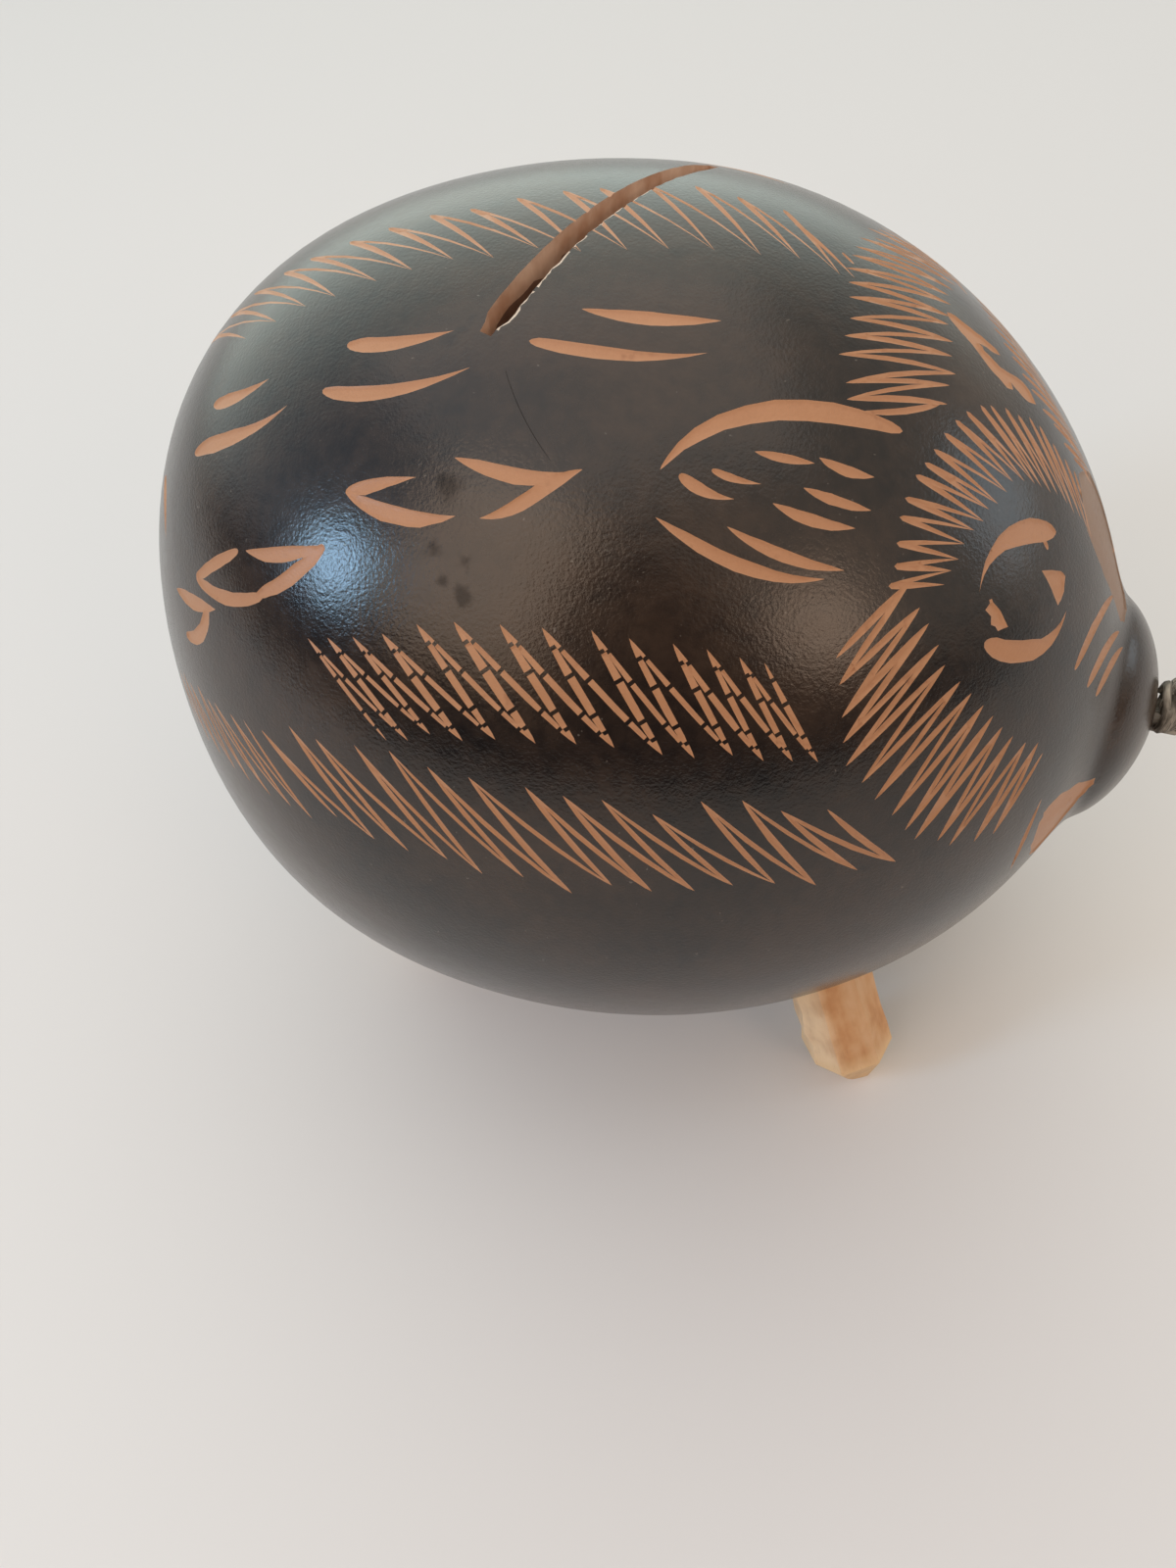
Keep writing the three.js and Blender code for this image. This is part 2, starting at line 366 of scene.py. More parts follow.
@dataclass
class Knife:
    """Makes cuts from marks, rows of teeth and patches, and keeps them."""

    face: TurnedFace
    middle: float
    seed: int
    side: Side = Side.RIGHT
    gap: float = 0.42
    ragged: float = 0.045
    cuts: list[Cut] = field(default_factory=list)

    STRAIGHT_STEPS = 8
    CURVED_STEPS = 15
    CLOSEST = 0.01  # the least share of the run between two steps
    BLUNT = 0.05  # an end with more half width than this has two corners
    PRESSURE = (0.85, 1.15)  # how the hand varies the width of teeth
    POWER = 3

    def __post_init__(self) -> None:
        """Starts the knife's own random source."""
        self.rng = np.random.default_rng(self.seed)

    def turn_to(self, side: Side) -> None:
        """Cuts what follows on this side."""
        self.side = side

    def sided(self, places: Sequence[Place]) -> Array:
        """Places as an array, mirrored in the middle line on the left side."""
        array = np.array(places, float)
        if self.side is Side.LEFT:
            array[:, 1] = 2 * self.middle - array[:, 1]
        return array

    def metric(self, places: Array) -> Array:
        """Millimetres in one unit of back and in one degree round, at places."""
        degree = self.face.degree(places[:, 0])
        return np.stack([np.ones_like(degree), degree], -1)

    def run(self, places: Array) -> Array:
        """Length of a line of places up to each of them, in millimetres."""
        scale = self.metric(places)
        steps = np.diff(places, axis=0) * (scale[1:] + scale[:-1]) / 2
        return running(np.linalg.norm(steps, axis=1))

    def patch(self, places: Sequence[Place], ragged: float = 0.05, shows: Face = Face.CUT) -> None:
        """Cuts a whole outline, with its edges split and made a little ragged."""
        corners = self.sided(places)
        halfway = (corners + np.roll(corners, -1, axis=0)) / 2
        outline = np.stack([corners, halfway], 1).reshape(-1, 2)
        wander = self.rng.normal(0.0, ragged, outline.shape) / self.metric(outline)
        self.cuts.append(Cut(outline + wander, shows=shows))

    def stroke(self, mark: Mark) -> None:
        """Cuts one mark on the knife's side."""
        self.cut_along(self.sided(mark.path), mark.width, mark.taper, shows=mark.shows)

    def cut_along(
        self, path: Array, width: float, taper: Taper, gaps: Sequence[float] = (), shows: Face = Face.CUT
    ) -> None:
        """Cuts a tapered stroke along one smooth curve through places.

        Args:
            path: places that are already on their side.
            width: greatest width.
            taper: how the width changes.
            gaps: shares of the run at which a thin line is left uncut.
            shows: what the cut lays bare.
        """
        run = self.run(path)
        curves = [np.polyfit(run / run[-1], path[:, k], min(len(path) - 1, self.POWER)) for k in (0, 1)]
        steps = self.STRAIGHT_STEPS if len(path) == 2 else self.CURVED_STEPS
        shares = (1.0 - np.cos(np.linspace(0.0, np.pi, steps))) / 2
        half_gap = self.gap / 2 / run[-1]
        ends = [0.0, *(v for g in gaps for v in (g - half_gap, g + half_gap)), 1.0]
        for start, stop in zip(ends[::2], ends[1::2]):
            inside = shares[(shares > start + self.CLOSEST) & (shares < stop - self.CLOSEST)]
            t = np.concatenate([[start], inside, [stop]])
            line = np.stack([np.polyval(c, t) for c in curves], -1)
            scale = self.metric(line)
            flow = np.gradient(line, t, axis=0) * scale
            aside = unit(np.stack([-flow[:, 1], flow[:, 0]], -1)) / scale
            half = width / 2 * taper.width(t)
            rough = half * (1 + self.rng.normal(0.0, self.ragged, (2, len(t))))
            left, right = (line + way * aside * size[:, None] for way, size in zip((1, -1), rough))
            first = left[:1] if half[0] > self.BLUNT else left[:0]
            last = right[-1:] if half[-1] > self.BLUNT else right[:0]
            outline = np.concatenate([right[:1], first, left[1:], last, right[-2:0:-1]])
            self.cuts.append(Cut(outline, shows=shows))

    def guide(self, places: Sequence[Place], teeth: Teeth) -> Array:
        """Tips along a guide line, each moved a little by the hand.

        The step from tip to tip grows with one plus the swell times the sine of the share of the row.
        """
        line = self.sided(places)
        run = self.run(line)
        turn = teeth.turn()
        step = turn + teeth.swell * (1.0 - np.cos(turn))
        at = run[-1] * step / step[-1]
        tips = np.stack([np.interp(at, run, line[:, k]) for k in (0, 1)], -1)
        return tips + self.rng.normal(0.0, teeth.wander, tips.shape) / self.metric(tips)

    def zigzag(self, teeth: Teeth) -> None:
        """Cuts a row of teeth."""
        tops = self.guide(teeth.first, teeth)
        ends = self.guide(teeth.second, teeth)
        sizes = teeth.sizes()
        legs = [(*leg, teeth.thick) for leg in zip(tops, ends, sizes)]
        legs += [(*leg, teeth.thin) for leg in zip(tops[:-1], ends[1:], sizes)]
        for top, end, size, width in legs:
            wide = width * size * self.rng.uniform(*self.PRESSURE)
            self.cut_along(np.stack([top, end]), wide, teeth.taper, teeth.gaps)


class PigCarving:
    """The marks cut through the dyed skin: back, mane, ears, eyes, cheeks, flanks and snout."""

    MIDDLE = -6.0  # the face's middle line, in degrees round
    TORN = 0.12  # how ragged the chin and the rear patch of the eye are
    SEED = 11

    SPINE = Teeth(
        ((155.3, 8), (144.4, 4.5), (130.1, 2), (116.1, -0.7), (106.7, -5.3), (96.2, -10.1), (83.3, -11.2)),
        ((140.2, 17.3), (130.7, 14.3), (117.9, 10.2), (105, 6.9), (93.4, 4.9), (82, -0.8), (74.7, -1.9)),
        count=16, thick=0.7, thin=0.4, taper=NEEDLE,
    )
    MANE = Teeth(
        ((71, 15.6), (72.2, 9), (73.6, 2), (74.5, -5), (74, -14), (73, -24)),
        ((60, 8.6), (60, 2), (61, -5), (62.5, -13), (62, -22), (61, -31)),
        count=15, thick=0.66, thin=0.56,
    )
    FAN = Teeth(
        ((61.5, 34.8), (62.1, 26.8), (61.6, 20.7), (59.9, 14.4), (56.7, 5.6), (48.1, -2.8), (40, -4)),
        ((55.5, 32.2), (53.2, 24), (51.5, 17.5), (49, 12.5), (44, 8), (40.7, 6.4), (33.5, 4)),
        count=20, thick=0.66, thin=0.5, taper=NEEDLE, wander=0.2,
    )
    CHEEK = Teeth(
        ((59.6, 34.2), (56.3, 37.8), (53.1, 42.2), (49.3, 44.9), (44.5, 48.5), (40.5, 51.7), (34.2, 55.8)),
        ((65, 44), (63.4, 50), (61.5, 58.1), (56.8, 62.1), (52.1, 67.4), (47.7, 71), (39.6, 73)),
        count=14, thick=0.8, thin=0.66,
    )
    BELT = Teeth(
        (
            (120.3, 53.4), (114.7, 51.5), (107.4, 49.1), (98.9, 47.3), (89.3, 46.3), (78.2, 45.6),
            (72.6, 45.8),
        ),
        ((109.8, 62.2), (104.9, 60.3), (97.9, 59.2), (90.6, 57.8), (81.7, 57.3), (73.4, 57), (64.9, 56.6)),
        count=14, thick=0.76, thin=0.56, wander=0.2, gaps=(0.16, 0.39, 0.72, 0.87), swell=0.9,
    )
    HEM = Teeth(
        ((128.2, 67), (117.9, 64), (105.2, 63.4), (89.6, 63.2), (74.7, 62.9), (62, 62.1)),
        ((116.9, 75.3), (107.2, 75.6), (92.3, 75.9), (78.4, 74.5), (63.6, 74.5), (53, 72.6)),
        count=15, thick=0.7, thin=0.55, wander=0.5,
    )
    HEM_REAR = Teeth(
        ((153, 70), (142, 68.5), (132, 67.5)), ((148, 79), (135, 78), (121, 76.5)),
        count=8, thick=0.5, thin=0.4,
    )
    SPINE_END = (
        Mark(((81.3, -8.7), (77, -5.6), (73.3, -2.8)), 0.7, NEEDLE),
        Mark(((75.5, -6.7), (73.9, -5.5)), 0.4, LIMB),
    )
    FOREHEAD = (
        (62.5, -8.4), (61.4, -9.2), (60, -9.1), (58.3, -9.6), (56.6, -10), (55.4, -10.3), (54.6, -9.7),
        (55.4, -8.6), (56.6, -8.1), (57.6, -7.4), (56.8, -6.9), (55.5, -6.6), (54.3, -6.6), (52.9, -7.5),
        (51.8, -8.5), (50.7, -9.3), (49.6, -9.1), (48.6, -8), (48.2, -7.4), (49.3, -5.6), (50.5, -5.3),
        (51.6, -5.3), (52.4, -5.5), (52, -4.3), (52.8, -3.3), (54.1, -3.6), (55.4, -3.8), (56.7, -4.4),
        (57.9, -5.2), (59.2, -5.9), (60.2, -6.3), (61.3, -6.8), (62.2, -7.6),
    )
    HEAD_MARKS = (
        Mark(
            ((86.5, 29.5), (85, 26.7), (81.5, 22.7), (78.2, 20.5), (74.5, 18.9), (70.5, 17.5), (64, 16)),
            2.2, RIM,
        ),
        Mark(((68.7, 16.1), (66.1, 14.6), (60.5, 9)), 0.75, TOOTH),
        Mark(((84.6, 29.5), (81.6, 30.6), (78.9, 30.5)), 1.2),
        Mark(((81.7, 28.2), (79.1, 28.5), (76.7, 28.2)), 0.8),
        Mark(((78.1, 25.1), (75.2, 24.8), (72.1, 24.2)), 0.95, CRESCENT),
        Mark(((71.8, 23.4), (69, 23.7), (65.8, 23.1)), 1.15, CRESCENT),
        Mark(((72.6, 27.2), (68.9, 27.4), (65.3, 27)), 1.1, CRESCENT),
        Mark(((75.2, 29.8), (71.1, 30.3), (66.5, 29.6)), 1.25, CRESCENT),
        Mark(((79, 33.4), (73, 34.8), (66.6, 34.5)), 1.25, CRESCENT),
        Mark(((85.9, 34.2), (79.5, 36.4), (74.5, 37.1), (68.4, 36)), 1.4, CRESCENT),
        Mark(((50.8, 31.4), (50.5, 26.9), (49.5, 23.4), (47.1, 19.6), (44.2, 17), (41.4, 14.1)), 2.7, BROW),
        Mark(((43.6, 17), (42.2, 18.6)), 0.7, LIMB),
        Mark(((48.6, 37.9), (45.9, 38), (42.8, 37.4), (39.7, 35), (37.6, 31.4), (36.6, 26.2)), 2.4, LEAF),
        Mark(((24.5, 5.4), (29.2, 23.7), (31.9, 36.5)), 1.4, RIM),
        Mark(((20.5, 12.1), (24.8, 27.4), (27.5, 39)), 1.6, RIM),
        Mark(((18.7, 15.7), (21.7, 29.2), (24.1, 40.4)), 1.4, RIM),
        Mark(((31, 69), (31.7, 79), (31.8, 94.3)), 1.0, CRESCENT),
    )
    BRIDGE_HALF = (
        (38.6, -6), (37, 0.5), (35.2, 5), (31.5, 7), (28.4, 7.4), (25.6, 7), (22.5, 6.4), (20.4, 7),
        (19.2, 3.5), (18.6, -6),
    )
    CHIN = (
        (17.2, 78.1), (18.3, 78), (20.9, 75.4), (23.1, 74.2), (25.2, 72.5), (26.7, 73.2), (28.4, 73.7),
        (28.8, 75.6), (29.2, 79.4), (29.1, 83.9), (28.6, 89.4), (27.5, 98), (25, 104), (21.5, 100),
        (18.9, 92), (17.7, 86.6), (17.1, 82.1),
    )
    EYE_FRONT = ((42.6, 22.7), (39.1, 20.1), (38.2, 20.2), (37.8, 23.2), (38.4, 26.5), (40.1, 24.6))
    EYE_BACK = ((49.1, 31.6), (48.6, 31.7), (46, 34.3), (47.1, 35.4), (48.2, 35.1), (49.1, 33.4))
    FLANK_MARKS = (
        Mark(((122.8, 20.9), (117, 20.7), (110.7, 18.8)), 1.9),
        Mark(((124.1, 26.5), (118, 26.7), (113.9, 25.8), (107.6, 22.8)), 1.7),
        Mark(((98.4, 14.3), (91.5, 13.8), (84.7, 11.7)), 1.6, CRESCENT),
        Mark(((102.5, 19), (98.9, 19.1), (92.2, 18.6), (85, 16)), 1.55),
        Mark(((142.5, 26.7), (137, 26.3), (132.7, 24.6)), 1.7),
        Mark(((144.7, 33.5), (136.7, 32), (131.7, 30.4), (128.5, 28.2)), 2.0),
        Mark(((157, 35.5), (154, 42), (153, 47)), 1.6),
        Mark(((118, 37.4), (114.5, 36.1), (110.3, 34.8)), 1.45),
        Mark(((118, 37.4), (115.2, 38.3), (110.5, 38.9), (105.3, 37.9)), 1.8, CRESCENT),
        Mark(((106.7, 32.3), (101.8, 33), (97.8, 32.9), (93.8, 31.2)), 1.6, CRESCENT),
        Mark(((93.8, 31.2), (96.7, 33.5), (99.1, 35.7), (102.8, 37.7)), 1.55, CRESCENT),
        Mark(((131, 45.4), (124.9, 44.9), (119.6, 43.1)), 1.6, CRESCENT),
        Mark(((119.6, 43.1), (123.8, 47.3), (128.6, 50.2)), 1.7, LIMB),
        Mark(((127.6, 50), (132, 51.5), (141.1, 50.6)), 1.6, LIMB),
        Mark(((141.1, 50.6), (137.3, 48.3), (132.3, 45.6)), 1.5, LIMB),
        Mark(((147.8, 53.9), (141.7, 54.3), (136.4, 53.8)), 1.8, CRESCENT),
        Mark(((138.4, 53.8), (139, 56.3), (145.2, 60.4)), 1.9, LIMB),
    )
    SCARS = (Mark(((104, 22.5), (100.5, 27.5), (97, 31)), 0.11, LIMB, Face.SCRATCH),)

    def carve(self, face: TurnedFace) -> list[Cut]:
        """Cuts every mark of the shell: those on the middle line once, the rest on each side.

        Args:
            face: outer face of the shell.

        Returns:
            All the cuts.
        """
        knife = Knife(face, self.MIDDLE, seed=self.SEED)
        for mark in self.SPINE_END + self.SCARS:
            knife.stroke(mark)
        knife.patch(self.FOREHEAD)
        for teeth in (self.SPINE, self.MANE):
            knife.zigzag(teeth)
        other = [(back, 2 * self.MIDDLE - around) for back, around in self.BRIDGE_HALF[-2:0:-1]]
        knife.patch([*self.BRIDGE_HALF, *other], shows=Face.SCRAPED)
        for side in Side:
            knife.turn_to(side)
            for mark in self.HEAD_MARKS + self.FLANK_MARKS:
                knife.stroke(mark)
            for teeth in (self.FAN, self.CHEEK, self.BELT, self.HEM, self.HEM_REAR):
                knife.zigzag(teeth)
            knife.patch(self.EYE_FRONT)
            knife.patch(self.EYE_BACK, self.TORN)
            knife.patch(self.CHIN, self.TORN)
        return knife.cuts


# Mesh helpers


def write_mesh(name: str, points: Array, faces: Sequence[Array], smooth: bool = True) -> bpy.types.Object:
    """Puts points and faces into a new object at the origin.

    Args:
        name: name of the piece.
        points: (n, 3) points in millimetres.
        faces: arrays of corner indices, one array for each number of corners.
        smooth: whether the faces are shaded smooth.

    Returns:
        The object, linked into the scene.
    """
    sizes = np.concatenate([np.full(len(group), group.shape[1]) for group in faces])
    corners = np.concatenate([group.ravel() for group in faces]).astype(np.int32)
    starts = np.concatenate([[0], np.cumsum(sizes)[:-1]]).astype(np.int32)
    mesh = bpy.data.meshes.new(name)
    mesh.vertices.add(len(points))
    mesh.vertices.foreach_set("co", (points * MM).astype(np.float32).ravel())
    mesh.loops.add(len(corners))
    mesh.loops.foreach_set("vertex_index", corners)
    mesh.polygons.add(len(sizes))
    mesh.polygons.foreach_set("loop_start", starts)
    mesh.polygons.foreach_set("use_smooth", np.full(len(sizes), smooth))
    mesh.update(calc_edges=True)
    piece = bpy.data.objects.new(name, mesh)
    bpy.context.scene.collection.objects.link(piece)
    return piece


def loft(rows: Array) -> tuple[Array, list[Array]]:
    """A closed skin over rings of points, each end closed by a fan to its middle.

    Args:
        rows: (m, k, 3) rings, each running the same way round.

    Returns:
        Points, and the face arrays: quads between the rings, triangles at the ends.
    """
    many, around = rows.shape[:2]
    index = np.arange(many * around).reshape(many, around)
    following = np.roll(index, -1, axis=1)
    quads = np.stack([index[:-1], following[:-1], following[1:], index[1:]], -1).reshape(-1, 4)
    first, last = many * around, many * around + 1
    low = np.stack([np.full(around, first), following[0], index[0]], -1)
    high = np.stack([np.full(around, last), index[-1], following[-1]], -1)
    points = np.concatenate([rows.reshape(-1, 3), rows[:1].mean(1), rows[-1:].mean(1)])
    return points, [quads, np.concatenate([low, high])]


def tube(path: Array, radius: Array, aside: Array, sides: int) -> tuple[Array, list[Array]]:
    """A round tube along a path.

    Args:
        path: (n, 3) points of the centre line.
        radius: (n,) radii.
        aside: (n, 3) vectors that are never along the path, to set the rings by.
        sides: corners of a ring.

    Returns:
        Points and face arrays, as loft gives them.
    """
    flow = unit(np.gradient(path, axis=0))
    first = unit(np.cross(flow, aside))
    second = np.cross(flow, first)
    spokes = spun(circle(sides), first[:, None], second[:, None])
    return loft(path[:, None] + radius[:, None, None] * spokes)


def joined(parts: Sequence[tuple[Array, list[Array]]]) -> tuple[Array, list[Array]]:
    """Several skins of the same kinds of faces as one."""
    starts = np.cumsum([0] + [len(points) for points, _ in parts])
    kinds = range(len(parts[0][1]))
    faces = [np.concatenate([part[1][k] + start for part, start in zip(parts, starts)]) for k in kinds]
    return np.concatenate([part[0] for part in parts]), faces


def within(outline: Array, places: Array) -> Array:
    """Which places lie inside an outline, by counting its edges to one side of each."""
    ahead = np.roll(outline, -1, axis=0)
    x, y = places[:, :1], places[:, 1:]
    spans = (outline[:, 1] > y) != (ahead[:, 1] > y)
    rise = np.where(ahead[:, 1] == outline[:, 1], NOTHING, ahead[:, 1] - outline[:, 1])
    cross = outline[:, 0] + (y - outline[:, 1]) * (ahead[:, 0] - outline[:, 0]) / rise
    return (spans & (x < cross)).sum(1) % 2 == 1


def held(outline: Array, places: Array) -> Array:
    """Numbers of the places inside an outline. Only those in its box are tried."""
    low, high = outline.min(0) - ON_EDGE, outline.max(0) + ON_EDGE
    near = np.flatnonzero(((places > low) & (places < high)).all(1))
    return near[within(outline, places[near])]


def edge_distance(outline: Array, places: Array, degree: float) -> Array:
    """Distance in millimetres from places to the nearest edge of an outline.

    Args:
        outline: corners of the outline.
        places: (n, 2) places.
        degree: millimetres in one degree round, near the outline.

    Returns:
        (n,) distances.
    """
    scale = np.array([1.0, degree])
    start, point = outline * scale, places * scale
    span = np.roll(start, -1, axis=0) - start
    square = np.maximum((span**2).sum(1), NOTHING)
    offset = point[:, None] - start
    share = np.clip((offset * span).sum(2) / square, 0.0, 1.0)
    return np.linalg.norm(offset - share[..., None] * span, axis=2).min(1)


# Shell


@dataclass
class Hole:
    """An opening through the shell.

    Args:
        outline: its outline on the outer face.
        line: direction of its walls, going in.
        sawn: shares of the opening from the pig's right to its left, and how much of the walls' depth
            shows clean rind at each. The rest is dark.
    """

    outline: Array
    line: Array
    sawn: tuple[tuple[float, ...], tuple[float, ...]] = ((0.0, 1.0), (0.95, 0.95))

    def clean_depth(self, rim: Array) -> Array:
        """Share of the walls' depth that shows clean rind, at points of the rim."""
        across = rim[:, 1]
        share = (across - across.min()) / (across.max() - across.min())
        return np.interp(share, *self.sawn)


@dataclass
class CoinSlot:
    """The long knife cut across the back."""

    length: float = 42.5
    width: float = 2.8
    forward: float = 3.4
    to_left: float = 1.9
    slant: float = -18.5
    steps: int = 40
    ragged: float = 0.12
    clean: tuple[tuple[float, ...], tuple[float, ...]] = (
        (0.0, 0.06, 0.09, 0.15, 0.2, 0.25, 0.29, 0.33, 0.36, 0.39, 0.42, 1.0),
        (0.95, 0.9, 0.58, 0.5, 0.62, 0.56, 0.8, 0.9, 0.62, 0.66, 0.95, 0.95),
    )
    chipped: tuple[tuple[float, float], ...] = (
        (0.02, 0.15), (0.165, 0.3), (0.32, 0.37), (0.4, 0.53), (0.57, 0.66),
    )
    rounding: float = 2.6  # the run over which each end closes
    blunt: float = 0.3  # share of the rounding at which an end stops
    chip_step: float = 0.45
    chip_width: tuple[float, float] = (0.04, 0.34)
    thinning: tuple[Place, Place] = ((0.0, 0.7), (1.0, 0.45))  # shares of the slot, and of a chip's width
    chip_lap: float = 0.2
    chip_depth: float = 0.06

    EDGE_SEED, CHIP_SEED = 5, 9

    def edges(self) -> tuple[Array, Array]:
        """Front and rear edges in the slot's own plan: near straight, the front one ragged."""
        rng = np.random.default_rng(self.EDGE_SEED)
        run = np.linspace(-0.5, 0.5, self.steps) * self.length
        left = (0.5 - np.abs(run / self.length)) * self.length / self.rounding
        close = np.clip(left, self.blunt, 1.0) ** 0.5
        half = self.width / 2 * close
        front = np.stack([half - np.abs(rng.normal(0, self.ragged, self.steps)), run], -1)
        behind = np.stack([-half + rng.normal(0, self.ragged / 4, self.steps), run], -1)
        return front, behind

    def on_skin(self, form: GourdForm, plan: Array) -> Array:
        """Chart places of a plan turned to the slot's slant and dropped onto the skin."""
        angle = math.radians(self.slant)
        turn = np.array([[math.cos(angle), -math.sin(angle)], [math.sin(angle), math.cos(angle)]])
        plan = plan @ turn.T + np.array([form.ring_x + self.forward, self.to_left])
        above = np.concatenate([plan, np.full((len(plan), 1), form.ring_height + 2 * form.tall)], 1)
        return form.outer.places(form.outer.strike(above, -UP, 2 * form.tall))

    def hole(self, form: GourdForm) -> Hole:
        """The slot as an opening, its walls straight down."""
        front, behind = self.edges()
        outline = self.on_skin(form, np.concatenate([front, behind[::-1]]))
        return Hole(outline, -UP, self.clean)

    def chips(self, form: GourdForm) -> list[Cut]:
        """Pale chips broken from the front edge, from the right end to past the middle."""
        rng = np.random.default_rng(self.CHIP_SEED)
        front, _ = self.edges()
        cuts = []
        for first, last in self.chipped:
            run = np.linspace(first, last, 2 + int((last - first) * self.length / self.chip_step))
            at = run * (self.steps - 1)
            edge = np.stack([np.interp(at, np.arange(self.steps), row) for row in front.T], -1)
            width = rng.uniform(*self.chip_width, len(run)) * np.interp(run, *self.thinning)
            outer = edge + np.stack([width, np.zeros(len(run))], -1)
            strip = np.concatenate([edge - np.array([self.chip_lap, 0.0]), outer[::-1]])
            cuts.append(Cut(self.on_skin(form, strip), self.chip_depth, Face.CHIP))
        return cuts


@dataclass
class Skin:
    """Points and triangles of a closed skin as it grows, and what each triangle shows."""

    points: list[Array] = field(default_factory=list)
    faces: list[Array] = field(default_factory=list)
    shows: list[Array] = field(default_factory=list)
    count: int = 0

    def grow(self, points: Array) -> Array:
        """Adds points and gives their numbers."""
        self.points.append(points)
        self.count += len(points)
        return np.arange(self.count - len(points), self.count)

    def cover(self, faces: Array, shows: Any) -> None:
        """Adds triangles, with what they show."""
        self.faces.append(faces)
        self.shows.append(np.broadcast_to(shows, len(faces)))

    def strip(self, upper: Array, lower: Array, shows: Face) -> None:
        """Fills between two rings that have as many corners as each other."""
        ahead, below = np.roll(upper, -1), np.roll(lower, -1)
        halves = [np.stack([ahead, upper, lower], -1), np.stack([ahead, lower, below], -1)]
        self.cover(np.concatenate(halves), shows)

    def fan(self, ring: Array, pole: Array, shows: Face) -> None:
        """Closes a ring by a fan to one more point."""
        middle = np.repeat(self.grow(pole), len(ring))
        self.cover(np.stack([ring, np.roll(ring, -1), middle], -1), shows)


@dataclass
class CarvedShell:
    """The dyed shell with its cuts, openings, walls and inside, as one closed skin."""

    form: GourdForm
    cuts: list[Cut]
    holes: list[Hole]
    stem_radius: float = 2.1
    stem_depth: float = 6.8
    pole_gap: float = 1.5
    row_step: float = 2.6
    inner_step: float = 5.0
    widest_turn: float = 4.0
    narrowest: float = 0.5  # the least radius that sets the spacing round a face
    inner_end: float = 2.0
    margin: float = 0.55  # how far the grid keeps from the edges of cuts and openings
    inner_margin: float = 0.8
    wall_reach: float = 26.0  # takes any wall of an opening from the skin to the inside
    edge_run: float = 0.2  # how far from its edge a cut reaches its full depth

    SNOUT_ROWS = ((12.0, 1.1), (27.0, 0.5), (40.0, 1.5))  # where rows of a spacing end, and the spacing
    BODY_END = 182.0
    END_ROWS = 8
    FLOOR_STEPS = (1.0, -1.0, 3.0, -3.0)  # steps in from an edge, in runs of the edge
    ROOM = 0.75  # share of such a step that has to be free
    MERGE = 1e-4  # places of the flat chart that are nearer become one

    def chart_scale(self) -> float:
        """Millimetres for one degree in the flat chart, true at the widest ring."""
        return self.form.girth * math.pi / 180

    def grid(self, face: TurnedFace, rows: Array, step: float) -> Array:
        """Rows of places round a face, closer together where the face is narrow.

        Args:
            face: the face.
            rows: runs back of the rows.
            step: spacing round the face.

        Returns:
            Places of all the rows, the seam at both ends of each.
        """
        parts = []
        for number, back in enumerate(rows):
            radius = max(float(face.radius_back(back)), self.narrowest)
            turn = min(step / radius * 180 / math.pi, self.widest_turn)
            count = int(math.ceil(360 / turn))
            turns = (np.arange(1, count) + 0.5 * (number % 2) - 0.25) / count
            angles = SEAM - 360 + 360 * np.concatenate([[0.0], turns, [1.0]])
            parts.append(np.stack([np.full(len(angles), back), angles], -1))
        return np.concatenate(parts)

    def cleared(self, places: Array, outlines: Sequence[Array], face: TurnedFace, margin: float) -> Array:
        """Grid places that lie neither in an outline nor close to its edge."""
        keep = np.ones(len(places), bool)
        for outline in outlines:
            degree = float(face.degree(outline[:, 0].mean()))
            reach = np.array([margin, margin / degree])
            near = ((places > outline.min(0) - reach) & (places < outline.max(0) + reach)).all(1)
            found = np.flatnonzero(near & keep)
            if len(found):
                close = edge_distance(outline, places[found], degree) < margin
                keep[found[close | within(outline, places[found])]] = False
        return places[keep]

    def floor_places(self, cut: Cut) -> Array:
        """Places on a cut's floor: its corners moved in by the run of its edge, where there is room."""
        degree = float(self.form.outer.degree(cut.outline[:, 0].mean()))
        scale = np.array([1.0, degree])
        corners = cut.outline * scale
        flow = unit(np.roll(corners, -1, axis=0) - np.roll(corners, 1, axis=0) + SLIVER)
        aside = np.stack([-flow[:, 1], flow[:, 0]], -1)
        found = []
        for step in self.edge_run * np.array(self.FLOOR_STEPS):
            places = (corners + aside * step) / scale
            room = edge_distance(cut.outline, places, degree) > self.ROOM * abs(step)
            found.append(places[room & within(cut.outline, places)])
        return np.concatenate(found)

    def triangles(self, free: Array, loops: Sequence[Array]) -> tuple[Array, Array, list[list[int]]]:
        """Triangulates the flat chart with the loops as fixed edges.

        Args:
            free: loose places.
            loops: closed outlines.

        Returns:
            Places, faces that turn the same way, and for each place the inputs that it stands for.
        """
        starts = np.cumsum([len(free)] + [len(loop) for loop in loops])
        rings = [np.arange(start, start + len(loop)) for loop, start in zip(loops, starts)]
        edges = np.concatenate([np.stack([ring, np.roll(ring, -1)], -1) for ring in rings])
        scale = np.array([1.0, self.chart_scale()])
        flat = np.concatenate([free, *loops]) * scale
        found = delaunay_2d_cdt(flat.tolist(), edges.tolist(), [], 0, self.MERGE)
        places = np.array([tuple(v) for v in found[0]]) / scale
        faces = np.array(found[2])
        a, b, c = (places[faces[:, k]] for k in range(3))
        turn = (b[:, 0] - a[:, 0]) * (c[:, 1] - a[:, 1]) - (b[:, 1] - a[:, 1]) * (c[:, 0] - a[:, 0])
        faces[turn < 0] = faces[turn < 0][:, ::-1]
        return places, faces[np.abs(turn) > SLIVER], found[3]

